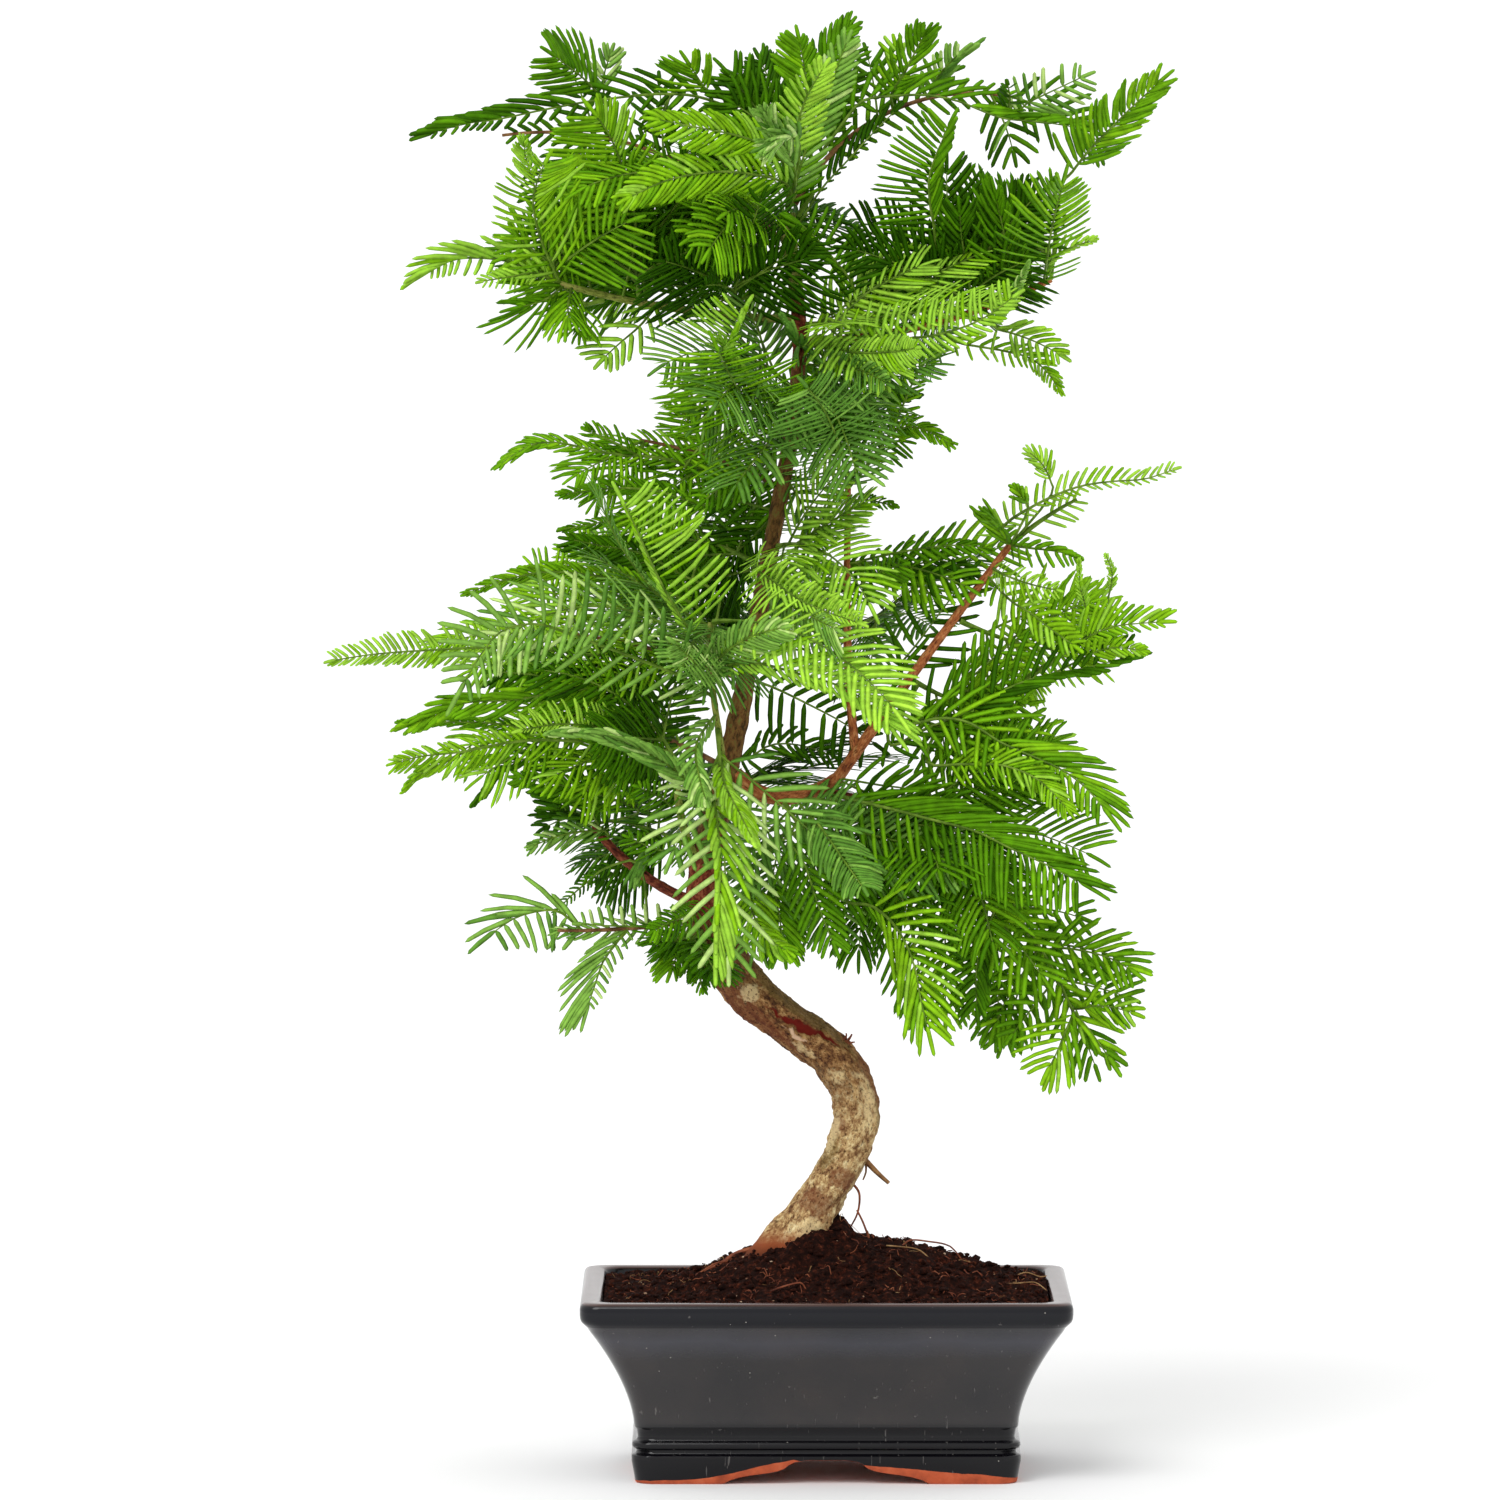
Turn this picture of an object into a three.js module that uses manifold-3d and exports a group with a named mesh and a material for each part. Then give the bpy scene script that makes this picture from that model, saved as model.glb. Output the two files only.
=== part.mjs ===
// A dawn redwood grown as a small bonsai, standing in a glazed rectangular pot.
//
// The trunk rises from the soil in an S, thick and pale at its foot and thin and red above.
// Boughs leave it on all sides. Sprays of flat needles grow on the trunk, the boughs and the
// boughs' tips, and each spray is one solid: a three-sided stem with toothed blades fused on,
// where a blade is a rib with its two rows of needles.
//
// Millimetres, +Z up, the front of the pot towards -Y. The feet stand on z = 0.

import * as THREE from 'three';
import { mergeVertices } from 'three/addons/utils/BufferGeometryUtils.js';
import Module from 'manifold-3d';

const wasm = await Module();
wasm.setup();

// ---- Driving dimensions: pot and soil ----

const POT_LENGTH = 180;
const POT_DEPTH = 135;
const POT_HEIGHT = 68.4;
const POT_CORNER = 7;
const LIP_HEIGHT = 7;
const LIP_LAND = 8.2;
const NECK = 4;
const WALL = 6.5;
const FOOT_INSET = 19.6;
const FOOT_HEIGHT = 8;
const FOOT_THICKNESS = 8;
const BAND_TOP = 21;
const UNDERSIDE = 9.6;
const FLOOR = 16;
const NECK_HEIGHT = POT_HEIGHT - LIP_HEIGHT - NECK;
const FLARE_REACH = 16;
const FLARE_POWER = 1.6;
const ARCH_HALF_WIDTH = 38;
const ARCH_HEIGHT = 8.9;
const SIDE_ARCH_SHARE = 0.68;
const DRAIN_RADIUS = 7;
const DRAIN_OFFSET = 32;
const SOIL_EDGE = 65.5;
const MOUND_HEIGHT = 20;
const MOUND_CENTRE = [8, 4];
const MOUND_SPREAD = { left: 31, right: 38, deep: 26 };
const FOOT_HOLE = { x: -15.5, long: 19, deep: 16, sides: 20 };

// ---- Driving dimensions: wood ----

const SEAT_GAP = 0.3;
const SEAT_STEP = 0.2;
const GROUND = 81;
const TRUNK_FOOT = [-11.5, 0, GROUND - 3];
const TRUNK_LENGTH = 415;
// The trunk's heading above the level, in degrees, at even steps from foot to fork.
const TRUNK_LEAN = [
  76, 63, 61, 78, 118, 143, 142, 132, 112, 90, 77, 76,
  78, 79, 79, 79.5, 79.5, 79.5, 80, 82, 88, 95, 99, 92,
];
const TRUNK_RADIUS = [
  10.2, 8.9, 8.4, 8.4, 8.9, 9, 8, 6.2, 4.6, 3.9, 3.5, 3.2, 3, 2.9, 2.8, 2.7, 2.7, 2.9,
];
const FLARE_DEPTH = 6.5;
const FLARE_HEIGHT = 7;
const FLUTED_SHARE = 0.5;
const TRUNK_SIDES = 12;
const TRUNK_STEPS = 28;
const BOUGH_SIDES = 6;
const BOUGH_STEP = 14;

// Each bough: what it grows on, how far along (0 foot, 1 tip), the way it heads in plan (az, 0 to
// the right, 90 to the back), its heading above the level (el) from first to last, and its radii.
const BOUGHS = [
  { name: 'bough_low_left', on: 'trunk', at: 0.374, az: [167], el: [22, 52],
    length: 44, radius: [2, 1.5] },
  { name: 'bough_green_shoot', on: 'trunk', at: 0.4, az: [-140, -110], el: [60, 88],
    length: 34, radius: [1.6, 1.3] },
  { name: 'bough_front', on: 'trunk', at: 0.455, az: [-75, -150], el: [42, 96],
    length: 76, radius: [1.4, 1] },
  { name: 'bough_right_low', on: 'trunk', at: 0.502, az: [-6], el: [-44, 6, 36],
    length: 38, radius: [3, 2.5] },
  { name: 'bough_right', on: 'bough_right_low', at: 1, az: [9], el: [54, 52],
    length: 106, radius: [2.2, 1.3] },
  { name: 'bough_right_drop', on: 'bough_right_low', at: 0.72, az: [-14, 12], el: [-6, -48],
    length: 66, radius: [1.6, 1.1] },
  { name: 'bough_second_stem', on: 'bough_right', at: 0.1, az: [110, 75], el: [70, 88],
    length: 94, radius: [1.7, 1.1] },
  { name: 'bough_upper_left', on: 'trunk', at: 0.905, az: [-170], el: [2, 16],
    length: 88, radius: [1.6, 1.1] },
  { name: 'bough_upper_right', on: 'trunk', at: 0.885, az: [8], el: [2, 26],
    length: 94, radius: [1.6, 1.1] },
];

// ---- Driving dimensions: foliage ----

const STEM_RADIUS = 1.5;
const STEM_TAPER = 0.25;
const STALK_HALF_WIDTH = 0.45;
const STEM_STEP = 16;
const STEM_SIDES = 3;
const RIB_HALF_WIDTH = 0.8;
const TOOTH_PITCH = 19.5;
const NEEDLE_LEAN = 0.55;
const BLADE_SLENDERNESS = 90;
const BLADE_THINNEST = 0.8;
const BARE_SHARE = 0.14;
const BLADE_STEPS = 10;
const BLADE_SINK = 2;
const TERMINAL_ROLL_JITTER = 10;
const FACE_JITTER = 16;
const SPLAY_JITTER = 14;
const SIZE_JITTER = 0.3;
const DROOP = 26;
const STEEPEST = -88;
const LAST_PAIR_SHARE = 0.35;
const TRIES = 6;
const FIRST_SWING = 12;
const MORE_SWING = 10;
const SHORTER = 0.09;
const NARROWER = 0.06;

// Each spray of foliage: what its stem grows on, the axis of stem and end blade together, the
// share of it that is stem, the side blades in pairs, how far they splay, and the half breadth
// (needle). face turns the spray about its stem: 0 lies level, 90 stands upright.
const SPRAYS = [
  // the long sprays that give the crown its outline
  { name: 'leader', on: 'trunk', at: 1, az: 20, el: [88, 50],
    axis: 72, stem: 0.3, pairs: 2, side: 46, splay: 44, face: -74, needle: 19 },
  { name: 'arch_right', on: 'trunk', at: 0.995, az: 15, el: [62, -40],
    axis: 136, stem: 0.72, pairs: 4, side: 26, splay: 58, face: -80, needle: 14 },
  { name: 'arch_left', on: 'trunk', at: 0.965, az: 170, el: [48, -26],
    axis: 150, stem: 0.76, pairs: 4, side: 32, splay: 58, face: 80, needle: 14 },
  { name: 'apex_left', on: 'trunk', at: 0.975, az: -148, el: [44, -20],
    axis: 88, stem: 0.2, pairs: 1, side: 54, splay: 42, face: 44, needle: 20 },
  { name: 'apex_right', on: 'trunk', at: 0.985, az: -30, el: [52, 44],
    axis: 66, stem: 0.16, pairs: 0, side: 34, splay: 45, face: -56, needle: 18 },
  { name: 'front_arch_left', on: 'bough_front', at: 0.8, az: -150, el: [44, -36],
    axis: 134, stem: 0.1, pairs: 0, side: 40, splay: 40, face: 48, needle: 26 },
  { name: 'front_arch_right', on: 'bough_front', at: 1, az: -42, el: [8, -42],
    axis: 94, stem: 0.1, pairs: 0, side: 40, splay: 40, face: -44, needle: 23 },
  { name: 'front_droop', on: 'bough_front', at: 0.5, az: -84, el: [-58, -72],
    axis: 88, stem: 0.16, pairs: 1, side: 54, splay: 32, face: -2, needle: 21 },
  { name: 'left_long', on: 'trunk', at: 0.58, az: 174, el: [22, -16],
    axis: 153, stem: 0.44, pairs: 2, side: 52, splay: 36, face: 60, needle: 18 },
  { name: 'left_mid', on: 'trunk', at: 0.5, az: -173, el: [30, -26],
    axis: 136, stem: 0.42, pairs: 2, side: 50, splay: 36, face: 56, needle: 18 },
  { name: 'mid_left_high', on: 'trunk', at: 0.755, az: -172, el: [26, -8],
    axis: 112, stem: 0.46, pairs: 2, side: 48, splay: 40, face: 62, needle: 16 },
  { name: 'right_fan', on: 'bough_right_drop', at: 0.3, az: -22, el: [-2, -22],
    axis: 100, stem: 0.24, pairs: 1, side: 66, splay: 38, face: -56, needle: 24 },
  { name: 'hanging_right', on: 'bough_right_drop', at: 1, az: 4, el: [-52, -70],
    axis: 96, stem: 0.54, pairs: 3, side: 42, splay: 54, face: -82, needle: 16 },
  { name: 'right_mid', on: 'bough_right', at: 0.2, az: 20, el: [14, -48],
    axis: 100, stem: 0.3, pairs: 2, side: 56, splay: 40, face: -60, needle: 18 },
  { name: 'right_outer', on: 'bough_right', at: 0.68, az: 6, el: [-26, 10],
    axis: 84, stem: 0.3, pairs: 2, side: 48, splay: 46, face: -76, needle: 18 },
  { name: 'bough_end', on: 'bough_right', at: 1, az: -5, el: [42, 4],
    axis: 73, stem: 0.4, pairs: 2, side: 34, splay: 48, face: -70, needle: 13 },
  // crown
  { name: 'crown_left_tip', on: 'bough_upper_left', at: 1, az: -120, el: [70, 96],
    axis: 62, stem: 0.15, pairs: 1, side: 52, splay: 34, face: -30, needle: 22 },
  { name: 'crown_left_mid', on: 'bough_upper_left', at: 0.64, az: -120, el: [76, 84],
    axis: 70, stem: 0.15, pairs: 1, side: 60, splay: 36, face: -26, needle: 22 },
  { name: 'crown_left_inner', on: 'bough_upper_left', at: 0.26, az: -70, el: [58, 44],
    axis: 62, stem: 0.2, pairs: 1, side: 56, splay: 42, face: -8, needle: 21 },
  { name: 'crown_left_low', on: 'bough_upper_left', at: 0.9, az: -172, el: [22, -14],
    axis: 66, stem: 0.26, pairs: 1, side: 42, splay: 42, face: 50, needle: 13 },
  { name: 'crown_left_under', on: 'bough_upper_left', at: 0.74, az: -156, el: [-10, -44],
    axis: 40, stem: 0.25, pairs: 1, side: 36, splay: 56, face: 60, needle: 16 },
  { name: 'crown_right_tip', on: 'bough_upper_right', at: 1, az: 6, el: [102, 30],
    axis: 90, stem: 0.12, pairs: 1, side: 58, splay: 34, face: -86, needle: 22 },
  { name: 'crown_right_mid', on: 'bough_upper_right', at: 0.62, az: -120, el: [66, 90],
    axis: 74, stem: 0.15, pairs: 1, side: 60, splay: 40, face: -26, needle: 22 },
  { name: 'crown_right_low', on: 'bough_upper_right', at: 0.62, az: -24, el: [-14, -34],
    axis: 50, stem: 0.3, pairs: 1, side: 38, splay: 44, face: -50, needle: 13 },
  { name: 'crown_back', on: 'trunk', at: 0.95, az: 96, el: [38, 4],
    axis: 94, stem: 0.3, pairs: 2, side: 56, splay: 48, face: 20, needle: 20 },
  { name: 'crown_back_left', on: 'bough_upper_left', at: 0.45, az: 120, el: [44, 4],
    axis: 80, stem: 0.25, pairs: 1, side: 58, splay: 46, face: 34, needle: 20 },
  { name: 'crown_back_right', on: 'bough_upper_right', at: 0.45, az: 62, el: [44, 4],
    axis: 80, stem: 0.25, pairs: 1, side: 58, splay: 46, face: 34, needle: 20 },
  // middle
  { name: 'upper_bright', on: 'trunk', at: 0.9, az: -29, el: [5, 10],
    axis: 98, stem: 0.14, pairs: 1, side: 60, splay: 34, face: -34, needle: 18 },
  { name: 'upper_left', on: 'trunk', at: 0.84, az: -142, el: [38, -22],
    axis: 82, stem: 0.2, pairs: 1, side: 54, splay: 44, face: 40, needle: 22 },
  { name: 'upper_front', on: 'trunk', at: 0.855, az: -66, el: [-8, -60],
    axis: 60, stem: 0.24, pairs: 1, side: 52, splay: 50, face: -30, needle: 20 },
  { name: 'mid_front_left', on: 'trunk', at: 0.62, az: -138, el: [6, 66],
    axis: 94, stem: 0.3, pairs: 1, side: 56, splay: 44, face: 30, needle: 20 },
  { name: 'mid_front', on: 'trunk', at: 0.7, az: -52, el: [12, -50],
    axis: 70, stem: 0.2, pairs: 1, side: 52, splay: 46, face: -46, needle: 19 },
  { name: 'mid_back', on: 'trunk', at: 0.775, az: 84, el: [24, -16],
    axis: 94, stem: 0.3, pairs: 2, side: 50, splay: 50, face: 14, needle: 20 },
  { name: 'mid_back_left', on: 'trunk', at: 0.68, az: 134, el: [22, -14],
    axis: 98, stem: 0.3, pairs: 2, side: 58, splay: 46, face: 34, needle: 20 },
  { name: 'back_high', on: 'trunk', at: 0.585, az: 92, el: [34, -14],
    axis: 98, stem: 0.34, pairs: 2, side: 56, splay: 50, face: 16, needle: 20 },
  { name: 'second_stem_top', on: 'bough_second_stem', at: 1, az: -6, el: [72, 0],
    axis: 58, stem: 0.24, pairs: 1, side: 50, splay: 50, face: -70, needle: 18 },
  { name: 'second_stem_right', on: 'bough_second_stem', at: 0.7, az: 10, el: [2, 10],
    axis: 70, stem: 0.2, pairs: 1, side: 52, splay: 40, face: -60, needle: 18 },
  { name: 'second_stem_back', on: 'bough_second_stem', at: 0.42, az: 62, el: [18, -22],
    axis: 86, stem: 0.3, pairs: 1, side: 56, splay: 46, face: 30, needle: 20 },
  // low
  { name: 'left_low', on: 'bough_low_left', at: 1, az: 162, el: [30, -22],
    axis: 66, stem: 0.22, pairs: 1, side: 42, splay: 46, face: 66, needle: 15 },
  { name: 'left_lowest', on: 'trunk', at: 0.365, az: -168, el: [-8, 10],
    axis: 90, stem: 0.55, pairs: 1, side: 38, splay: 66, face: 66, needle: 12 },
  { name: 'shoot_tuft', on: 'bough_green_shoot', at: 1, az: -160, el: [64, 6],
    axis: 64, stem: 0.2, pairs: 1, side: 52, splay: 48, face: 54, needle: 19 },
  { name: 'low_centre', on: 'trunk', at: 0.36, az: -112, el: [-14, -50],
    axis: 44, stem: 0.24, pairs: 1, side: 38, splay: 46, face: 24, needle: 18 },
  { name: 'low_back', on: 'trunk', at: 0.47, az: 72, el: [14, -22],
    axis: 96, stem: 0.3, pairs: 2, side: 58, splay: 48, face: 14, needle: 20 },
  { name: 'low_back_left', on: 'trunk', at: 0.42, az: 136, el: [20, -14],
    axis: 90, stem: 0.3, pairs: 1, side: 54, splay: 46, face: 34, needle: 19 },
  { name: 'low_front_right', on: 'bough_right_low', at: 0.4, az: -50, el: [-40, -78],
    axis: 62, stem: 0.2, pairs: 1, side: 56, splay: 48, face: -50, needle: 21 },
  { name: 'hanging_front', on: 'bough_right_drop', at: 0.1, az: -54, el: [-34, -82],
    axis: 86, stem: 0.25, pairs: 1, side: 52, splay: 44, face: -50, needle: 18 },
  { name: 'hanging_inner', on: 'bough_right_drop', at: 0.68, az: -84, el: [-70, -92],
    axis: 60, stem: 0.14, pairs: 1, side: 52, splay: 46, face: -14, needle: 18 },
  { name: 'right_inner', on: 'bough_right', at: 0.42, az: -14, el: [-30, 16],
    axis: 78, stem: 0.24, pairs: 1, side: 50, splay: 42, face: -66, needle: 18 },
];

// ---- Finishes ----

const GLAZE = { color: 0x2b2a2e, roughness: 0.18, metalness: 0 };
const PEAT = { color: 0x3a1a10, roughness: 0.95, metalness: 0 };
const OLD_BARK = { color: 0xa98a60, roughness: 0.9, metalness: 0 };
const YOUNG_BARK = { color: 0x8a4a26, roughness: 0.8, metalness: 0 };
const NEEDLE_GREEN = { color: 0x4f9a1e, roughness: 0.6, metalness: 0 };

// ---- Solids ----

function solidOf(geometry) {
  geometry.deleteAttribute('normal');
  geometry.deleteAttribute('uv');
  const merged = mergeVertices(geometry, 1e-4);
  const vertProperties = new Float32Array(merged.attributes.position.array);
  const triVerts = new Uint32Array(merged.index.array);
  return new wasm.Manifold(new wasm.Mesh({ numProp: 3, vertProperties, triVerts }));
}

function meshOf(name, solid, finish) {
  const { vertProperties, triVerts } = solid.getMesh();
  const geometry = new THREE.BufferGeometry();
  geometry.setAttribute('position', new THREE.BufferAttribute(vertProperties, 3));
  geometry.setIndex(new THREE.BufferAttribute(triVerts, 1));
  geometry.computeVertexNormals();
  const mesh = new THREE.Mesh(geometry, new THREE.MeshStandardMaterial(finish));
  mesh.name = name;
  return mesh;
}

function movePoints(geometry, move) {
  const position = geometry.attributes.position;
  const point = new THREE.Vector3();
  for (let i = 0; i < position.count; i++) {
    point.fromBufferAttribute(position, i);
    move(point);
    position.setXYZ(i, point.x, point.y, point.z);
  }
  return geometry;
}

// A value between evenly spaced keys.
function between(keys, t) {
  const place = Math.min(Math.max(t, 0), 1) * (keys.length - 1);
  const below = Math.min(Math.floor(place), Math.max(keys.length - 2, 0));
  const above = Math.min(below + 1, keys.length - 1);
  return THREE.MathUtils.lerp(keys[below], keys[above], place - below);
}

// ---- Pot ----

// A block with round corners in plan, drawn in by rows of [height, inset].
function flaredBlock(corner, rows) {
  const x = POT_LENGTH / 2 - corner;
  const y = POT_DEPTH / 2 - corner;
  const plan = new THREE.Shape();
  plan.absarc(x, y, corner, 0, Math.PI / 2);
  plan.absarc(-x, y, corner, Math.PI / 2, Math.PI);
  plan.absarc(-x, -y, corner, Math.PI, 1.5 * Math.PI);
  plan.absarc(x, -y, corner, 1.5 * Math.PI, 2 * Math.PI);
  const steps = rows.length - 1;
  const block = new THREE.ExtrudeGeometry(plan, { depth: 1, steps, bevelEnabled: false, curveSegments: 2 });
  movePoints(block, (p) => {
    const [height, inset] = rows[Math.round(p.z * steps)];
    p.set(p.x - Math.sign(p.x) * inset, p.y - Math.sign(p.y) * inset, height);
  });
  return solidOf(block);
}

function flareInset(height) {
  const rise = (height - BAND_TOP) / (NECK_HEIGHT - BAND_TOP);
  return FOOT_INSET - FLARE_REACH * Math.min(Math.max(rise, 0), 1) ** FLARE_POWER;
}

function potOutside() {
  const flare = [0, 0.28, 0.54, 0.78, 1].map((share) => {
    const height = BAND_TOP + share * (NECK_HEIGHT - BAND_TOP);
    return [height, flareInset(height)];
  });
  const lipFoot = POT_HEIGHT - LIP_HEIGHT;
  return flaredBlock(POT_CORNER, [
    [0, FOOT_INSET + 0.6],
    [FOOT_HEIGHT + 0.3, FOOT_INSET - 0.9],
    [FOOT_HEIGHT + 2.4, FOOT_INSET - 0.9],
    [FOOT_HEIGHT + 2.9, FOOT_INSET + 0.7],
    [FOOT_HEIGHT + 4.7, FOOT_INSET + 0.7],
    [FOOT_HEIGHT + 5.3, FOOT_INSET - 0.6],
    [FOOT_HEIGHT + 7.4, FOOT_INSET - 0.4],
    [FOOT_HEIGHT + 8.2, FOOT_INSET + 1.2],
    [BAND_TOP - 0.6, FOOT_INSET + 1.2],
    ...flare,
    [lipFoot - 1.4, 1.6],
    [lipFoot + 0.6, 0.2],
    [POT_HEIGHT - 1.8, 0],
    [POT_HEIGHT - 0.5, 0.6],
    [POT_HEIGHT, 1.8],
  ]);
}

// The hollow of the pot, from a floor or a ledge up, kept clear of the wall by gap.
function potInside(floor, top, gap) {
  const heights = [0.1, 0.35, 0.6, 0.8].map((share) => floor + share * (NECK_HEIGHT - floor));
  return flaredBlock(POT_CORNER + 2, [
    [floor, FOOT_INSET + WALL + 3 + gap],
    ...heights.map((height) => [height, flareInset(height) + WALL + gap]),
    [POT_HEIGHT - LIP_HEIGHT, LIP_LAND + 1.4 + gap],
    [POT_HEIGHT - 3, LIP_LAND + gap],
    [top, LIP_LAND + gap],
  ]);
}

// The bracket-shaped opening between two feet, in the X-Z plane, cut right through along Y.
function footArch(share) {
  const half = ARCH_HALF_WIDTH * share;
  const outline = new THREE.Shape();
  outline.moveTo(-half, -1);
  outline.lineTo(-half, 0);
  const [low, mid, high] = [0.3, 0.55, 0.8].map((share) => share * ARCH_HEIGHT);
  outline.bezierCurveTo(-half * 0.8, mid, -half * 0.45, low, -half * 0.36, high);
  outline.lineTo(-half * 0.18, ARCH_HEIGHT);
  outline.lineTo(half * 0.18, ARCH_HEIGHT);
  outline.lineTo(half * 0.36, high);
  outline.bezierCurveTo(half * 0.45, low, half * 0.8, mid, half, 0);
  outline.lineTo(half, -1);
  const options = { depth: POT_LENGTH, bevelEnabled: false, curveSegments: 4 };
  const cutter = new THREE.ExtrudeGeometry(outline, options);
  cutter.translate(0, 0, -POT_LENGTH / 2);
  cutter.rotateX(Math.PI / 2);
  return cutter;
}

function pot() {
  const recess = flaredBlock(POT_CORNER, [
    [-1, FOOT_INSET + FOOT_THICKNESS],
    [UNDERSIDE, FOOT_INSET + FOOT_THICKNESS + 1],
  ]);
  let body = potOutside().subtract(potInside(FLOOR, POT_HEIGHT + 1, 0)).subtract(recess);
  body = body.subtract(solidOf(footArch(1)));
  body = body.subtract(solidOf(footArch(SIDE_ARCH_SHARE).rotateZ(Math.PI / 2)));
  for (const x of [-DRAIN_OFFSET, DRAIN_OFFSET]) {
    const drain = new THREE.CylinderGeometry(DRAIN_RADIUS, DRAIN_RADIUS, 3 * FLOOR, 12);
    drain.rotateX(Math.PI / 2).translate(x, 0, FLOOR);
    body = body.subtract(solidOf(drain));
  }
  return body;
}

// ---- Soil ----

function soilHeight(x, y) {
  const across = (x - MOUND_CENTRE[0]) / (x < MOUND_CENTRE[0] ? MOUND_SPREAD.left : MOUND_SPREAD.right);
  const deep = (y - MOUND_CENTRE[1]) / MOUND_SPREAD.deep;
  const lumps = 0.5 * Math.sin(0.31 * x + 0.9) * Math.cos(0.27 * y) + 0.4 * Math.sin(0.17 * x - 0.23 * y);
  return SOIL_EDGE + MOUND_HEIGHT * Math.exp(-(across * across + deep * deep) / 2) + lumps;
}

function soil() {
  const top = 2 * POT_HEIGHT;
  const block = new THREE.BoxGeometry(POT_LENGTH, POT_DEPTH, 1, 11, 8, 1);
  movePoints(block, (p) => {
    p.z = p.z > 0 ? soilHeight(p.x, p.y) : 0;
  });
  return solidOf(block).intersect(potInside(FLOOR + SEAT_GAP, top, SEAT_GAP + 0.05));
}

// ---- Wood ----

// The directions of a shoot that heads az in plan and el above the level.
function directions(az, el) {
  const a = THREE.MathUtils.degToRad(az);
  const e = THREE.MathUtils.degToRad(el);
  const forward = new THREE.Vector3(Math.cos(e) * Math.cos(a), Math.cos(e) * Math.sin(a), Math.sin(e));
  const side = new THREE.Vector3(Math.sin(a), -Math.cos(a), 0);
  const up = new THREE.Vector3().crossVectors(side, forward);
  return { forward, side, up };
}

// The centre line of a shoot whose heading turns evenly from key to key.
function centreLine(start, az, el, length, steps) {
  const line = [];
  const p = start.clone();
  for (let i = 0; i <= steps; i++) {
    line.push({ p: p.clone(), ...directions(between(az, i / steps), between(el, i / steps)) });
    const middle = (i + 0.5) / steps;
    p.addScaledVector(directions(between(az, middle), between(el, middle)).forward, length / steps);
  }
  return line;
}

// A closed tapering rod along a centre line.
function taperedRod(line, radiusAt, sides) {
  const steps = line.length - 1;
  const rod = new THREE.CylinderGeometry(1, 1, 1, sides, steps);
  movePoints(rod, (q) => {
    const t = q.y + 0.5;
    const { p, side, up } = line[Math.round(t * steps)];
    const radius = radiusAt(t, Math.atan2(q.z, q.x));
    const [across, along] = [q.x * radius, q.z * radius];
    q.copy(p).addScaledVector(side, across).addScaledVector(up, along);
  });
  return solidOf(rod);
}

function pointOn(line, share) {
  const place = share * (line.length - 1);
  const below = Math.min(Math.floor(place), line.length - 2);
  return line[below].p.clone().lerp(line[below + 1].p, place - below);
}

// The foot swells into low root ridges, widest to the left.
function trunkRadius(t, angle) {
  const height = t * TRUNK_LENGTH;
  const ridges = 0.35 + 0.65 * Math.max(0, Math.cos(angle - Math.PI / 2)) ** 2 + 0.15 * Math.cos(5 * angle);
  const swell = FLARE_DEPTH * Math.exp(-Math.max(0, height - 3) / FLARE_HEIGHT) * ridges;
  const flutes = 1 + 0.04 * Math.cos(3 * angle + height / 14) + 0.03 * Math.cos(5 * angle - height / 9);
  return between(TRUNK_RADIUS, t) * (t < FLUTED_SHARE ? flutes : 1) + swell;
}

function trunk() {
  const line = centreLine(new THREE.Vector3(...TRUNK_FOOT), [0], TRUNK_LEAN, TRUNK_LENGTH, TRUNK_STEPS);
  const below = new THREE.BoxGeometry(POT_LENGTH, POT_DEPTH, GROUND).translate(0, 0, GROUND / 2);
  const solid = taperedRod(line, trunkRadius, TRUNK_SIDES).subtract(solidOf(below));
  return { line, radiusAt: (t) => between(TRUNK_RADIUS, t), solid };
}

// ---- Keeping clear ----

const placed = [];

function boxesMeet(a, b) {
  return [0, 1, 2].every((i) => a.min[i] < b.max[i] && b.min[i] < a.max[i]);
}

function touches(solid, others) {
  const box = solid.boundingBox();
  return others.some((other) => boxesMeet(box, other.box) && !solid.intersect(other.solid).isEmpty());
}

function keep(name, solid, finish) {
  const kept = { name, solid, box: solid.boundingBox(), finish };
  placed.push(kept);
  return kept;
}

// Draws the same numbers each time, between 0 and 1.
function seededDraws(seed) {
  let state = 7919 * seed + 17;
  const draw = () => {
    state = (state * 16807) % 2147483647;
    return state / 2147483647;
  };
  draw();
  draw();
  return draw;
}

// Starts a shoot at a limb's tip or skin and backs it off until it stands SEAT_GAP clear.
function seatedLine(limb, { at, length }, az, el, steps, radiusAt, sides) {
  const centre = pointOn(limb.line, at);
  const { forward } = directions(az[0], el[0]);
  const others = placed.filter((other) => other.name !== 'soil');
  let offset = at < 1 ? 0.6 * limb.radiusAt(at) : 0;
  for (;;) {
    const line = centreLine(centre.clone().addScaledVector(forward, offset), az, el, length, steps);
    const heel = { ...line[0], p: line[0].p.clone().addScaledVector(forward, -SEAT_GAP) };
    if (!touches(taperedRod([heel, line[1]], () => radiusAt(0) + SEAT_GAP, sides), others)) {
      return line;
    }
    offset += SEAT_STEP;
  }
}

// ---- Foliage ----

// The half breadth of a blade at share u of its length: short needles at both ends.
function breadthAt(needle, u) {
  const opening = 0.5 + 0.5 * Math.min(1, u / 0.3);
  const closing = 1 - 0.6 * Math.max(0, (u - 0.55) / 0.45) ** 1.6;
  return needle * opening * closing;
}

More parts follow.
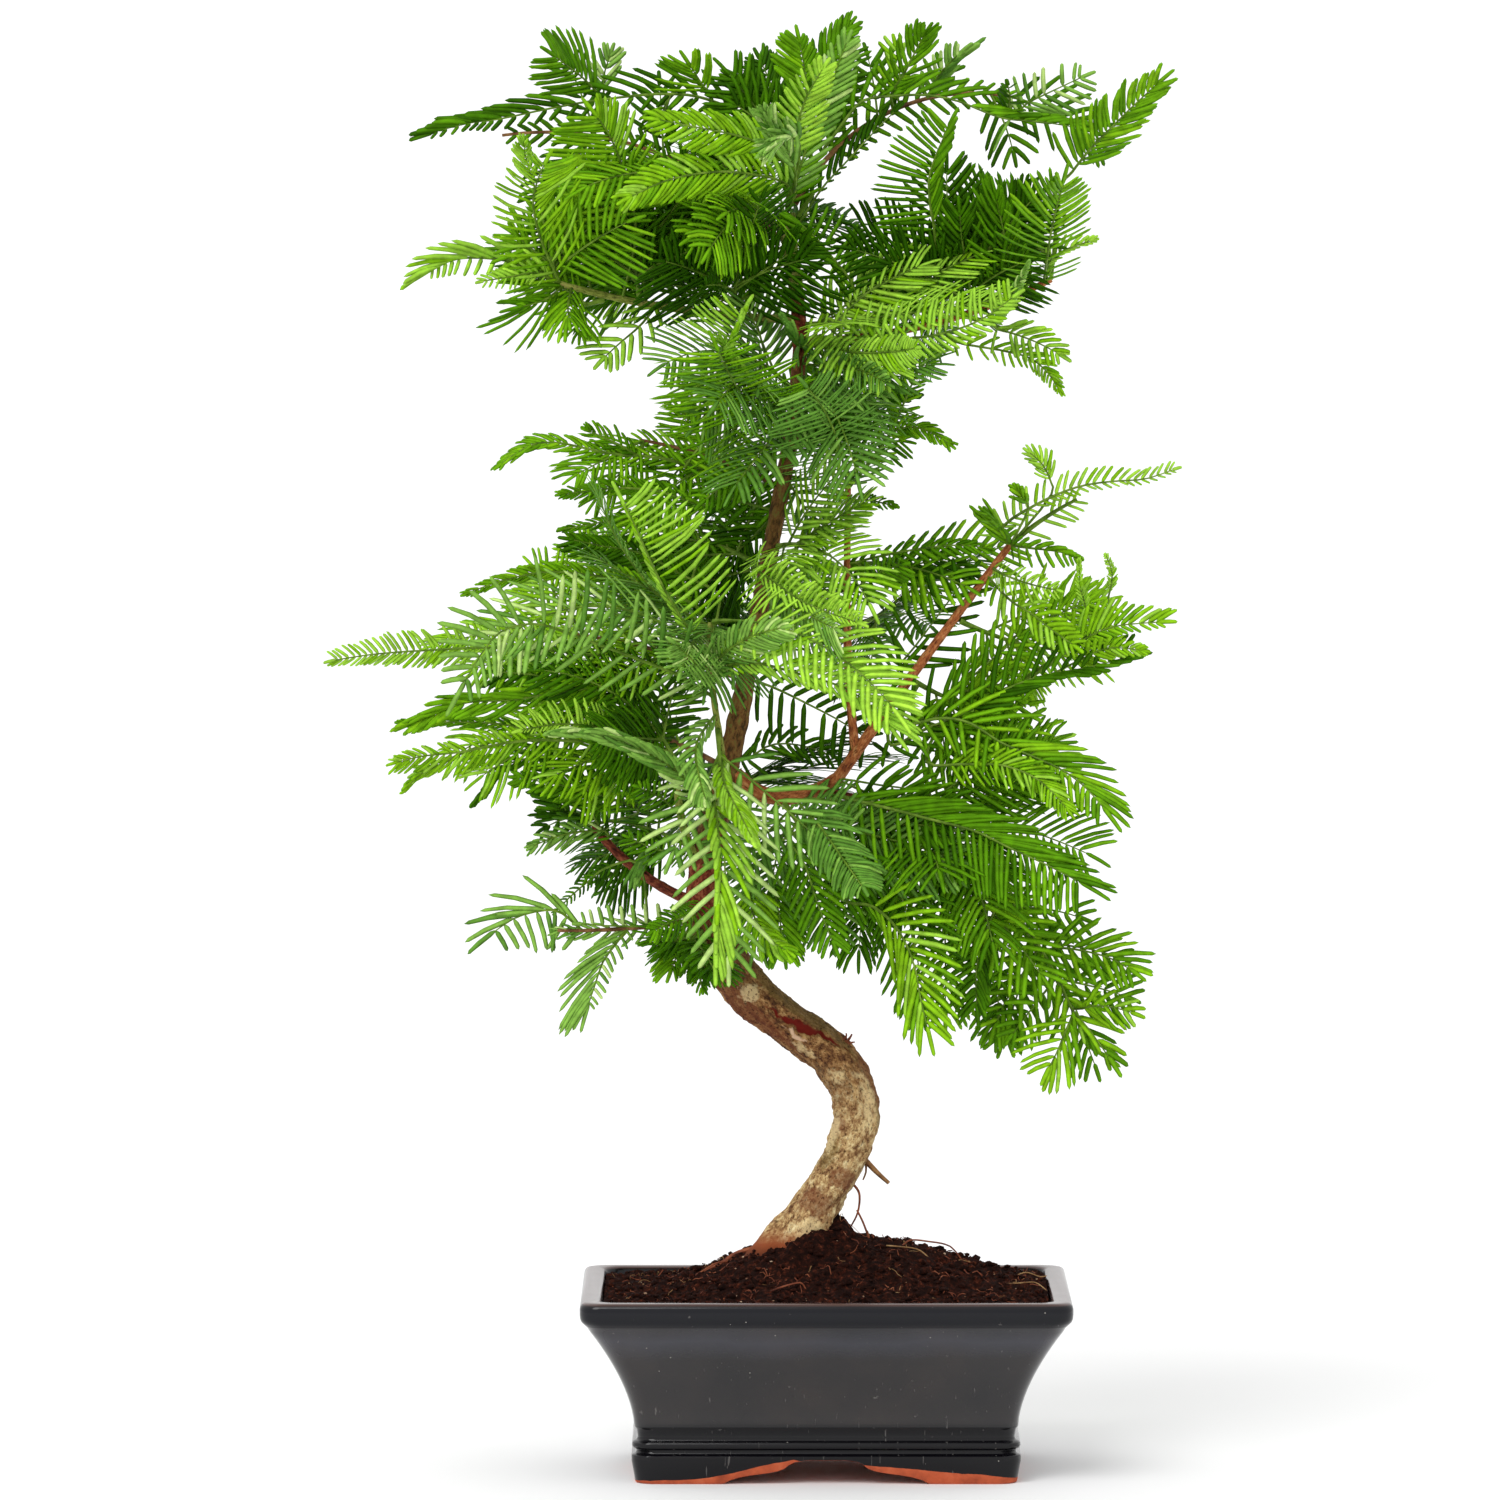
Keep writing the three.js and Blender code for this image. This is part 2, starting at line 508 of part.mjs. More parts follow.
// The toothed outline of a rib with its two rows of needles, along X. from is where the rib
// starts: 0, or the first needle for a blade that is tested without its bare stalk.
function bladeOutline(length, needle, grow, from) {
  const bare = BARE_SHARE * length;
  const teeth = Math.ceil((length - bare) / TOOTH_PITCH);
  const pitch = (length - bare) / (teeth + 0.6);
  const edge = [[from - grow, STALK_HALF_WIDTH + grow]];
  for (let i = 0; i < teeth; i++) {
    const foot = bare + i * pitch;
    const breadth = breadthAt(needle, (foot + 0.5 * pitch) / length) + grow;
    edge.push([foot + 0.1, RIB_HALF_WIDTH + grow]);
    edge.push([Math.min(foot + 0.5 * pitch + NEEDLE_LEAN * breadth, length - 0.5), breadth]);
  }
  edge.push([length - 0.6 * pitch, RIB_HALF_WIDTH + grow]);
  const points = [...edge, [length + grow, 0], ...edge.toReversed().map(([x, y]) => [x, -y])];
  return new THREE.Shape(points.map(([x, y]) => new THREE.Vector2(x, y)));
}

// A blade bent along its rib's line and turned about it by roll.
function blade({ start, az, el, length, needle, roll }, grow, stalk = true) {
  const thickness = Math.max(BLADE_THINNEST, length / BLADE_SLENDERNESS) + 2 * grow;
  const outline = bladeOutline(length, needle, grow, stalk ? 0 : BARE_SHARE * length);
  const sheet = new THREE.ExtrudeGeometry(outline, { depth: thickness, bevelEnabled: false });
  const line = centreLine(start, az, el, length, BLADE_STEPS);
  const turn = THREE.MathUtils.degToRad(roll);
  movePoints(sheet, (q) => {
    const [along, across, lift] = [q.x, q.y, thickness / 2 - q.z];
    const place = THREE.MathUtils.clamp(along / length, 0, 1) * BLADE_STEPS;
    const below = Math.min(Math.floor(place), BLADE_STEPS - 1);
    const { forward, side, up } = directions(between(az, along / length), between(el, along / length));
    q.copy(line[below].p).lerp(line[below + 1].p, place - below);
    q.addScaledVector(forward, along - THREE.MathUtils.clamp(along, 0, length));
    q.addScaledVector(side, across * Math.cos(turn) - lift * Math.sin(turn));
    q.addScaledVector(up, across * Math.sin(turn) + lift * Math.cos(turn));
  });
  return solidOf(sheet);
}

// The blades that a spray would like to have, by the seeded rule, before any is skipped.
function wishedBlades(spray, line, draw) {
  const blades = [];
  const stemEl = [spray.el[0], between(spray.el, spray.stem)];
  const tip = line.at(-1);
  blades.push({
    start: tip.p.clone().addScaledVector(tip.forward, -BLADE_SINK),
    az: [spray.az, spray.az],
    el: [stemEl[1], spray.el[1]],
    length: spray.axis * (1 - spray.stem) + BLADE_SINK,
    needle: spray.needle,
    roll: spray.face + TERMINAL_ROLL_JITTER * (draw() - 0.5),
  });
  for (let pair = 0; pair < spray.pairs; pair++) {
    const share = (pair + 1) / (spray.pairs + LAST_PAIR_SHARE);
    const station = directions(spray.az, between(stemEl, share));
    for (const hand of [-1, 1]) {
      const face = THREE.MathUtils.degToRad(spray.face + FACE_JITTER * (draw() - 0.5));
      const splay = THREE.MathUtils.degToRad(spray.splay + SPLAY_JITTER * (draw() - 0.5));
      const size = 1 + SIZE_JITTER * (draw() - 0.5);
      const sink = DROOP * draw();
      const [cos, sin] = [Math.cos(face), Math.sin(face)];
      const plane = station.side.clone().multiplyScalar(cos).addScaledVector(station.up, sin);
      const normal = station.up.clone().multiplyScalar(cos).addScaledVector(station.side, -sin);
      const way = station.forward.clone().multiplyScalar(Math.cos(splay));
      way.addScaledVector(plane, hand * Math.sin(splay));
      const az = THREE.MathUtils.radToDeg(Math.atan2(way.y, way.x));
      const el = THREE.MathUtils.radToDeg(Math.asin(way.z));
      const own = directions(az, el);
      const roll = THREE.MathUtils.radToDeg(Math.atan2(-normal.dot(own.side), normal.dot(own.up)));
      blades.push({
        start: pointOn(line, share),
        az: [az, az],
        el: [el, Math.max(el - sink, STEEPEST)],
        length: spray.side * size,
        needle: spray.needle * (0.8 + 0.2 * size),
        roll,
      });
    }
  }
  return blades;
}

// A second, third and last place for a blade that found no room: swung aside and shortened.
function varied(wish, attempt, draw) {
  const [swing, lift] = [draw() - 0.5, draw() - 0.5];
  const reach = attempt > 0 ? FIRST_SWING + MORE_SWING * attempt : 0;
  return {
    ...wish,
    az: wish.az.map((value) => value + reach * swing),
    el: wish.el.map((value) => value + reach * lift),
    length: wish.length * (1 - SHORTER * attempt),
    needle: wish.needle * (1 - NARROWER * attempt),
  };
}

function growStem(spray, limb) {
  const stemEl = [spray.el[0], between(spray.el, spray.stem)];
  const length = spray.axis * spray.stem;
  const steps = Math.max(1, Math.round(length / STEM_STEP));
  const radiusAt = (t) => STEM_RADIUS * (1 - STEM_TAPER * t);
  const line = seatedLine(limb, { at: spray.at, length }, [spray.az], stemEl, steps, radiusAt, STEM_SIDES);
  const stem = taperedRod(line, radiusAt, STEM_SIDES);
  return { line, kept: keep(`foliage_${spray.name}`, stem, NEEDLE_GREEN) };
}

// Fuses a spray's blades to its stem, skipping each that finds no room of its own.
function growBlades(spray, { line, kept }, seed) {
  const draw = seededDraws(seed);
  const others = placed.filter((other) => other !== kept);
  const own = [];
  for (const wish of wishedBlades(spray, line, draw)) {
    const trials = Array.from({ length: TRIES }, (_, attempt) => varied(wish, attempt, draw));
    const free = trials.find((trial) => (
      !touches(blade(trial, SEAT_GAP), others) && !touches(blade(trial, 0, false), own)
    ));
    if (free) {
      const leaf = blade(free, 0);
      kept.solid = kept.solid.add(leaf);
      own.push({ solid: leaf, box: leaf.boundingBox() });
    }
  }
  kept.box = kept.solid.boundingBox();
}

// ---- Assembly ----

const limbs = { trunk: trunk() };
const foot = new THREE.CylinderGeometry(1, 1, POT_HEIGHT, FOOT_HOLE.sides).rotateX(Math.PI / 2);
foot.scale(FOOT_HOLE.long, FOOT_HOLE.deep, 1);
foot.translate(FOOT_HOLE.x, 0, GROUND - SEAT_GAP + POT_HEIGHT / 2);

keep('pot', pot(), GLAZE);
keep('soil', soil().subtract(solidOf(foot)), PEAT);
keep('trunk', limbs.trunk.solid, OLD_BARK);

for (const bough of BOUGHS) {
  const radiusAt = (t) => between(bough.radius, t);
  const steps = Math.max(2, Math.round(bough.length / BOUGH_STEP));
  const line = seatedLine(limbs[bough.on], bough, bough.az, bough.el, steps, radiusAt, BOUGH_SIDES);
  limbs[bough.name] = { line, radiusAt };
  keep(bough.name, taperedRod(line, radiusAt, BOUGH_SIDES), YOUNG_BARK);
}

const stems = SPRAYS.map((spray) => growStem(spray, limbs[spray.on]));
SPRAYS.forEach((spray, index) => growBlades(spray, stems[index], index + 1));

const plant = new THREE.Group();
plant.name = 'bonsai_dawn_redwood';
for (const { name, solid, finish } of placed) {
  plant.add(meshOf(name, solid, finish));
}
const middle = new THREE.Box3().setFromObject(plant).getCenter(new THREE.Vector3());
plant.position.set(-middle.x, -middle.y, 0);

export default plant;
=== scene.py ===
# %% [markdown]
# # A bonsai dawn redwood in its glazed pot
# The plant has an S-shaped trunk with flaking bark, slender boughs, and flat sprays in which
# each rib carries two rows of soft needles. It stands in dark peaty soil in a flared pot.
# The measured model gives the size and the place of everything. Here each plain solid gets a
# finished piece in its stead: a pot with a glaze, crumbly soil, bark with relief, and sprays
# with every needle cut to its own outline.

# %% The measured model
import math
from collections import namedtuple

import bmesh
import bpy
import numpy as np
from mathutils import Matrix, Vector, noise
from mathutils.geometry import interpolate_bezier
from mathutils.kdtree import KDTree


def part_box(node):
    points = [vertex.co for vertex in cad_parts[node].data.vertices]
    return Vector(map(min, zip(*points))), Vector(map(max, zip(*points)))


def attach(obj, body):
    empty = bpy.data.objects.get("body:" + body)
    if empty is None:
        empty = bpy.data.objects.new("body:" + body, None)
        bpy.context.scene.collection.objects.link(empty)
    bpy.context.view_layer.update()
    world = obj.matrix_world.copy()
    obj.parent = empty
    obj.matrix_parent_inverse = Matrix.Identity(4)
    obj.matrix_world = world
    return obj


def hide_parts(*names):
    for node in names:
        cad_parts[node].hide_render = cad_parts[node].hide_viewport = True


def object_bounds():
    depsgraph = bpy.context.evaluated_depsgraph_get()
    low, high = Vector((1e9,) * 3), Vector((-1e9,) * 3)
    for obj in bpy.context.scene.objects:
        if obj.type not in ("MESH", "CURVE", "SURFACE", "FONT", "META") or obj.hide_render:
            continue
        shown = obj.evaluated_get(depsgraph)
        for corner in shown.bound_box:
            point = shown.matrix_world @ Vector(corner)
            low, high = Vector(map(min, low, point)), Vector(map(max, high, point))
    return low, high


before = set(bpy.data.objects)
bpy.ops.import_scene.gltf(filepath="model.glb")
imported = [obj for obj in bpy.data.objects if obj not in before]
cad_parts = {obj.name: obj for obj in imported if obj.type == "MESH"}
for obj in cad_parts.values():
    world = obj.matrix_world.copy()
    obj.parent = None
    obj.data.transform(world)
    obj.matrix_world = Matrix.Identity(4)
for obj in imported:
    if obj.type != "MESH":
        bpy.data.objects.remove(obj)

cad_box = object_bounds()
MM = 0.001
pot_low, pot_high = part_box("pot")
MIDDLE = Vector(((pot_low.x + pot_high.x) / 2, (pot_low.y + pot_high.y) / 2, 0))
POT_LENGTH, POT_DEPTH, POT_HEIGHT = ((high - low) / MM for low, high in zip(pot_low, pot_high))
print(f"pot {POT_LENGTH:.1f} x {POT_DEPTH:.1f} x {POT_HEIGHT:.1f} mm, all lengths from its middle")

# %% [markdown]
# ## The camera, the light and the floor
# A long lens from a few metres keeps the pot's sides nearly parallel. The camera stands a
# little above the middle of the plant and looks slightly down, so the top of the rim shows as
# a narrow band.

# %% The camera
IMAGE_SIDE = 1500
FOCAL_LENGTH_PIXELS = 11751
CAMERA_PLACE = Vector((-27.9, -4320, 550.8)) * MM + MIDDLE
CAMERA_PITCH = 3.77

scene = bpy.context.scene
camera_data = bpy.data.cameras.new("camera")
camera_data.lens = FOCAL_LENGTH_PIXELS / IMAGE_SIDE * camera_data.sensor_width
camera_data.clip_end = 4000
camera = bpy.data.objects.new("camera", camera_data)
camera.location = CAMERA_PLACE
camera.rotation_euler = (math.radians(90 - CAMERA_PITCH), 0, 0)
scene.collection.objects.link(camera)
bpy.context.scene.camera = camera
print(f"lens {camera_data.lens:.0f} mm")

# %% [markdown]
# A studio cut-out has light from all round. A white world does that, and it is also what the
# glaze mirrors. One broad sun from the upper left gives the needles and the bark their form.

# %% The light
scene.view_settings.view_transform = "Standard"
scene.view_settings.look = "None"
scene.world = bpy.data.worlds.new("studio")
scene.world.use_nodes = True
scene.world.node_tree.nodes["Background"].inputs["Color"].default_value = (1, 1, 1, 1)

sun = bpy.data.lights.new("key_light", "SUN")
sun.energy = 1.3
sun.angle = math.radians(30)
key_light = bpy.data.objects.new("key_light", sun)
key_light.rotation_euler = (math.radians(38), math.radians(-24), 0)
scene.collection.objects.link(key_light)
print("key light and world ready")

# %% [markdown]
# ## Making pieces and finishes
# Every piece keeps its object at the origin, with its place in its mesh, so that patterns in
# its material stay where they belong. A piece rides on the one body of the plant, and the
# plain solids that it stands for are hidden.

# %% Pieces


def placed(name, mesh, *materials):
    item = bpy.data.objects.new(name, mesh)
    scene.collection.objects.link(item)
    for material in materials:
        mesh.materials.append(material)
    return item


def finished(name, mesh, materials, slot, *nodes):
    piece = placed(name, mesh, *materials)
    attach(piece, "root")
    if nodes:
        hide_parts(*nodes)
    triangles = sum(len(polygon.vertices) - 2 for polygon in mesh.polygons)
    print(f"{name}: {triangles} triangles")


def mesh_from(name, shape):
    """Turns a bmesh in millimetres into a mesh in the model's frame."""
    bmesh.ops.scale(shape, vec=(MM, MM, MM), verts=shape.verts)
    bmesh.ops.translate(shape, vec=MIDDLE, verts=shape.verts)
    bmesh.ops.recalc_face_normals(shape, faces=shape.faces)
    mesh = bpy.data.meshes.new(name)
    shape.to_mesh(mesh)
    shape.free()
    return mesh


def smoothed(mesh, angle):
    mesh.polygons.foreach_set("use_smooth", np.ones(len(mesh.polygons), bool))
    mesh.set_sharp_from_angle(angle=math.radians(angle))
    return mesh


# %% [markdown]
# Finishes are built from a few small helpers. A pattern is handed on as a pair: a node and the
# name of its output. Colours are given as they look on a screen, 0 to 255, and turned into the
# linear values that a shader wants.

# %% Finishes


def colour(*channels):
    shares = [value / 255 for value in channels]
    return (*(s / 12.92 if s <= 0.04045 else ((s + 0.055) / 1.055) ** 2.4 for s in shares), 1)


def give(target, socket, source):
    """Feeds a socket with a plain value or with a pattern."""
    if isinstance(source, tuple) and isinstance(source[0], bpy.types.Node):
        target.id_data.links.new(source[0].outputs[source[1]], target.inputs[socket])
    else:
        target.inputs[socket].default_value = source


def node(material, kind, **settings):
    made = material.node_tree.nodes.new("ShaderNode" + kind)
    for key, value in settings.items():
        if key in made.bl_rna.properties:
            setattr(made, key, value)
        else:
            give(made, key.replace("_", " ").title(), value)
    return made


def shade(material, **sockets):
    """Sets sockets of the material's shader."""
    for socket, source in sockets.items():
        give(material.node_tree.nodes["Principled BSDF"], socket.replace("_", " "), source)


def finish(name, base, roughness, **sockets):
    material = bpy.data.materials.new(name)
    material.use_nodes = True
    shade(material, Base_Color=colour(*base), Roughness=roughness, **sockets)
    return material


def stretched(material, where, stretch):
    """A place stretched so that a pattern can run along one way."""
    return node(material, "Mapping", vector_type="POINT", vector=where, scale=stretch), "Vector"


def place_of(material, stretch=(1, 1, 1)):
    return stretched(material, (node(material, "TexCoord"), "Object"), stretch)


def cloudy(material, where, scale, detail=2.0, **more):
    return node(material, "TexNoise", vector=where, scale=scale, detail=detail, **more), "Fac"


def mottled(material, where, scale, detail, roughness, stops):
    """A cloudy pattern, and the same in colours by a ramp of (position, colour) stops."""
    pattern = cloudy(material, where, scale, detail, roughness=roughness)
    ramp = node(material, "ValToRGB", fac=pattern)
    elements = ramp.color_ramp.elements
    while len(elements) < len(stops):
        elements.new(0.5)
    for element, (position, tint) in zip(elements, stops):
        element.position, element.color = position, colour(*tint)
    return pattern, (ramp, "Color")


def mixed(material, factor, first, second, blend="MIX"):
    mix = node(material, "Mix", data_type="RGBA", blend_type=blend)
    for socket, source in ((0, factor), (6, first), (7, second)):
        give(mix, socket, source)
    return mix, 2


def arithmetic(material, operation, *sources):
    step = node(material, "Math", operation=operation)
    for socket, source in enumerate(sources):
        give(step, socket, source)
    return step, "Value"


def ramped(material, source, low, high, most=1.0):
    """Turns the stretch from low to high into 0 to most."""
    made = node(material, "MapRange", value=source, from_min=low, from_max=high, to_max=most)
    return made, "Result"


def height_in(material):
    return node(material, "SeparateXYZ", vector=(node(material, "TexCoord"), "Object"))


def relief(material, pattern, depth, distance):
    bump = node(material, "Bump", strength=depth, distance=distance * MM)
    give(bump, "Height", pattern)
    shade(material, Normal=(bump, "Normal"))


def speckled(name, roughness, gloss, pattern, stops, depth=0, distance=0.3):
    """A finish coloured and raised by one pattern, given as its scale, detail and roughness."""
    material = finish(name, stops[len(stops) // 2][1], roughness, Specular_IOR_Level=gloss)
    cloud, tone = mottled(material, place_of(material), *pattern, stops)
    shade(material, Base_Color=tone)
    if depth:
        relief(material, cloud, depth, distance)
    return material


print("helpers ready")

# %% [markdown]
# The floor is a wide pale sheet. It belongs to the studio and not to the plant, so it is put
# on the stage.

# %% The floor
FLOOR_REACH = 1500

floor_shape = bmesh.new()
bmesh.ops.create_grid(floor_shape, x_segments=1, y_segments=1, size=FLOOR_REACH)
floor_mesh = bpy.data.meshes.new("floor")
floor_shape.to_mesh(floor_mesh)
floor_shape.free()
floor_finish = finish("floor_white", (255, 255, 255), 0.8)
shade(floor_finish, Base_Color=(0.9, 0.9, 0.9, 1))
floor = placed("floor", floor_mesh, floor_finish)
print(f"floor {2 * FLOOR_REACH} m wide")

# %% [markdown]
# ## The pot
# The real pot is pressed in a mould: a flared box with a heavy rounded lip, a groove and two
# beads above the feet, and a bracket-shaped arch cut into each side of the foot. One flat
# face with rounded corners is drawn up through the outer profile, over the lip and down the
# inside, so the wall is one closed shell. The arches are cut out with a boolean afterwards.

# %% The pot's profile
POT_CORNER = 7
LIP_HEIGHT = 7
LIP_LAND = 8.2
NECK_HEIGHT = POT_HEIGHT - LIP_HEIGHT - 4
WALL = 6.5
FOOT_INSET = 19.6
BAND_TOP = 21
POT_FLOOR = 16
FLARE_REACH = 16
FLARE_POWER = 1.6


def flare_inset(height):
    rise = min(max((height - BAND_TOP) / (NECK_HEIGHT - BAND_TOP), 0), 1)
    return FOOT_INSET - FLARE_REACH * rise**FLARE_POWER


FOOT_ROWS = [
    (0, 0.9), (0.6, 0.35), (2.5, 0.1), (8.2, -0.9), (10.2, -0.95), (10.7, -0.5), (11, 0.5),
    (11.8, 0.8), (12.5, 0.6), (13, -0.3), (13.8, -0.75), (14.9, -0.7), (15.5, -0.2), (15.9, 0.9),
    (17, 1.25), (19.6, 0.9), (20.4, 0.4),
]
LIP_ROWS = [
    (9.4, 2.7), (8.2, 1.5), (7.2, 0.6), (6, 0.15), (4.4, 0), (2.4, 0), (1.4, 0.25), (0.6, 0.8),
    (0.15, 1.6), (0, 2.6), (0.05, LIP_LAND - 1.9), (0.4, LIP_LAND - 0.9), (1.2, LIP_LAND - 0.25),
    (2.4, LIP_LAND), (7, LIP_LAND + 1.2),
]
pot_profile = [(height, FOOT_INSET + more) for height, more in FOOT_ROWS]
pot_profile += [(height, flare_inset(height)) for height in np.linspace(BAND_TOP, NECK_HEIGHT, 14)]
pot_profile += [(POT_HEIGHT - depth, inset) for depth, inset in LIP_ROWS]
for height in np.linspace(NECK_HEIGHT - 2, POT_FLOOR + 2, 6):
    pot_profile.append((height, flare_inset(height) + WALL))
pot_profile.append((POT_FLOOR, FOOT_INSET + WALL + 3))
print(f"{len(pot_profile)} rows from the foot over the lip to the floor inside")

# %% Rounded plates and drawn-up walls


def rounded_plate(shape, length, depth, corner, steps):
    """A flat face with round corners, lying at height 0."""
    made = bmesh.ops.create_grid(shape, x_segments=1, y_segments=1, size=0.5)
    bmesh.ops.scale(shape, vec=(length, depth, 1), verts=made["verts"])
    bmesh.ops.bevel(
        shape, geom=made["verts"], offset=corner, segments=steps, profile=0.5,
        affect="VERTICES", material=-1,
    )
    return max(shape.faces, key=lambda face: face.calc_area())


def draw_in(verts, inset):
    """Moves corners towards the middle by the same distance on each side."""
    for vert in verts:
        vert.co.x -= math.copysign(1, vert.co.x) * inset
        vert.co.y -= math.copysign(1, vert.co.y) * inset


def draw_up(shape, plate, rows):
    """Extrudes a plate through rows of (height, inset), each measured from the plate's edge."""
    height, inset = rows[0]
    draw_in(plate.verts, inset)
    bmesh.ops.translate(shape, vec=(0, 0, height), verts=plate.verts)
    for next_height, next_inset in rows[1:]:
        made = bmesh.ops.extrude_face_region(shape, geom=[plate, *plate.edges, *plate.verts])
        plate = next(item for item in made["geom"] if isinstance(item, bmesh.types.BMFace))
        draw_in(plate.verts, next_inset - inset)
        bmesh.ops.translate(shape, vec=(0, 0, next_height - height), verts=plate.verts)
        height, inset = next_height, next_inset


pot_shape = bmesh.new()
draw_up(pot_shape, rounded_plate(pot_shape, POT_LENGTH, POT_DEPTH, POT_CORNER, 7), pot_profile)
print(f"pot shell: {len(pot_shape.faces)} faces")

# %% [markdown]
# The arch is a bracket: low shoulders, then a step up to a flat crown. It is cut right through
# from front to back, and a narrower one from side to side. A shallow recess under the pot
# leaves four feet, and two holes let the water out.

# %% The arches, the recess and the drain holes
ARCH_HALF_WIDTH = 38
ARCH_HEIGHT = 8.9
SIDE_ARCH_SHARE = 0.68
FOOT_THICKNESS = 8
UNDERSIDE = 9.6
DRAIN_RADIUS = 7
DRAIN_OFFSET = 32
SHOULDER = [(1, 0), (0.8, 0.55), (0.45, 0.3), (0.36, 0.8)]
CROWN = [(0.3, 0.93), (0.18, 1)]


def arch_cutter(share, turn):
    """A bracket-shaped bar that runs right through the pot. Its outline is given in shares."""
    curve = interpolate_bezier(*(Vector(point) for point in SHOULDER), 9)
    right = [(x, z) for x, z in (*curve, *CROWN)]
    outline = [(1, -1 / ARCH_HEIGHT), *right]
    outline += [(-x, z) for x, z in reversed(outline)]
    shape = bmesh.new()
    half = ARCH_HALF_WIDTH * share
    face = shape.faces.new(
        shape.verts.new((x * half, -POT_LENGTH, z * ARCH_HEIGHT)) for x, z in outline
    )
    made = bmesh.ops.extrude_face_region(shape, geom=[face])
    moved = [item for item in made["geom"] if isinstance(item, bmesh.types.BMVert)]
    bmesh.ops.translate(shape, vec=(0, 2 * POT_LENGTH, 0), verts=moved)
    bmesh.ops.rotate(shape, verts=shape.verts, matrix=Matrix.Rotation(turn, 3, "Z"))
    return shape


def recess_cutter():
    shape = bmesh.new()
    inset = FOOT_INSET + FOOT_THICKNESS
    top = rounded_plate(shape, POT_LENGTH, POT_DEPTH, POT_CORNER, 5)
    draw_up(shape, top, [(-1, inset), (UNDERSIDE - 1, inset + 0.6), (UNDERSIDE, inset + 1.6)])
    return shape


def drain_cutter(x):
    shape = bmesh.new()
    bmesh.ops.create_cone(
        shape, cap_ends=True, segments=32, radius1=DRAIN_RADIUS, radius2=DRAIN_RADIUS,
        depth=3 * POT_FLOOR,
    )
    bmesh.ops.translate(shape, vec=(x, 0, POT_FLOOR), verts=shape.verts)
    return shape


def cut(mesh, shapes):
    """Cuts every shape out of the mesh and rounds the sharp edges that this leaves."""
    body = placed("cut_body", mesh)
    spare = [body]
    for index, shape in enumerate(shapes):
        tool = placed(f"cutter_{index}", mesh_from(f"cutter_{index}", shape))
        modifier = body.modifiers.new(tool.name, "BOOLEAN")
        modifier.operation = "DIFFERENCE"
        modifier.solver = "EXACT"
        modifier.object = tool
        spare.append(tool)
    rounding = body.modifiers.new("rounding", "BEVEL")
    rounding.width = 0.45 * MM
    rounding.segments = 2
    rounding.limit_method = "ANGLE"
    rounding.angle_limit = math.radians(50)
    graph = bpy.context.evaluated_depsgraph_get()
    result = bpy.data.meshes.new_from_object(body.evaluated_get(graph))
    for item in spare:
        bpy.data.objects.remove(item)
    return result


drains = [drain_cutter(-DRAIN_OFFSET), drain_cutter(DRAIN_OFFSET)]
arches = [arch_cutter(1, 0), arch_cutter(SIDE_ARCH_SHARE, math.pi / 2)]
pot_mesh = cut(mesh_from("pot_blank", pot_shape), [*arches, recess_cutter(), *drains])
pot_mesh.name = "pot"
smoothed(pot_mesh, 40)
print(f"pot after cutting: {len(pot_mesh.polygons)} faces")

# %% [markdown]
# The glaze is near black with a wet shine. The lip and the foot band with its groove and beads
# are painted a darker blue-black, which is painted shade. The glaze breaks in a clouded bluish
# band under the lip, and runs thin and brown on the sharp edges. It carries pale pinholes and
# fine upright scratches. It stops short of the ground in a ragged line that climbs towards the
# arch, and below that the bare clay shows. All this is one material, parted by height, because
# the edge of a glaze is not the edge of a face.

# %% The glaze's colours
LIP_FOOT = POT_HEIGHT - 9

glaze = finish("pot_glaze", (18, 18, 23), 0.2, Specular_IOR_Level=0.25, Coat_Roughness=0.06)
glaze_place = place_of(glaze)
split = node(glaze, "SeparateXYZ", vector=glaze_place)
level = (split, "Z")
cloud = cloudy(glaze, glaze_place, 34.0, 4.0)


def glaze_band(low, high, soft, waver):
    """A mask that is 1 between two heights in millimetres, with a soft and wavering edge."""
    wave = arithmetic(glaze, "MULTIPLY_ADD", cloud, waver * MM, level)
    wave = arithmetic(glaze, "SUBTRACT", wave, waver / 2 * MM)
    above = ramped(glaze, wave, (low - soft) * MM, (low + soft) * MM)
    below = ramped(glaze, wave, (high + soft) * MM, (high - soft) * MM)
    return arithmetic(glaze, "MULTIPLY", above, below)


tone = mottled(
    glaze, glaze_place, 26, 4, 0.55, [(0.3, (16, 15, 19)), (0.55, (30, 26, 27)), (0.75, (42, 35, 33))]
)[1]
clouded = arithmetic(glaze, "MULTIPLY", glaze_band(LIP_FOOT - 9, LIP_FOOT - 2, 3.5, 7), 0.34)
thin = 0.7
for side, half, middle in (("X", POT_LENGTH / 2, MIDDLE.x), ("Y", POT_DEPTH / 2, MIDDLE.y)):
    off_middle = arithmetic(glaze, "SUBTRACT", (split, side), middle)
    off_middle = arithmetic(glaze, "ABSOLUTE", off_middle)
    at_edge = ramped(glaze, off_middle, (half - 2) * MM, (half - 0.6) * MM)
    thin = arithmetic(glaze, "MULTIPLY", at_edge, thin)
for mask, tint in (
    (clouded, (72, 74, 88)),
    # painted shade: the lip is painted a darker blue-black
    (glaze_band(LIP_FOOT, POT_HEIGHT - 1, 1.0, 1), (7, 8, 16)),
    # painted shade: the foot band with its groove and beads is painted a darker blue-black
    (glaze_band(-5, BAND_TOP + 1, 0.5, 0.4), (8, 7, 11)),
    (ramped(glaze, level, (POT_HEIGHT - 1) * MM, (POT_HEIGHT - 0.4) * MM, 0.6), (104, 80, 76)),
    (thin, (84, 40, 28)),
):
    tone = mixed(glaze, mask, tone, colour(*tint))
# painted shade lies on the lip above LIP_FOOT and on the foot band below BAND_TOP
print(f"the glaze pools above {LIP_FOOT:.1f} mm and below {BAND_TOP} mm")

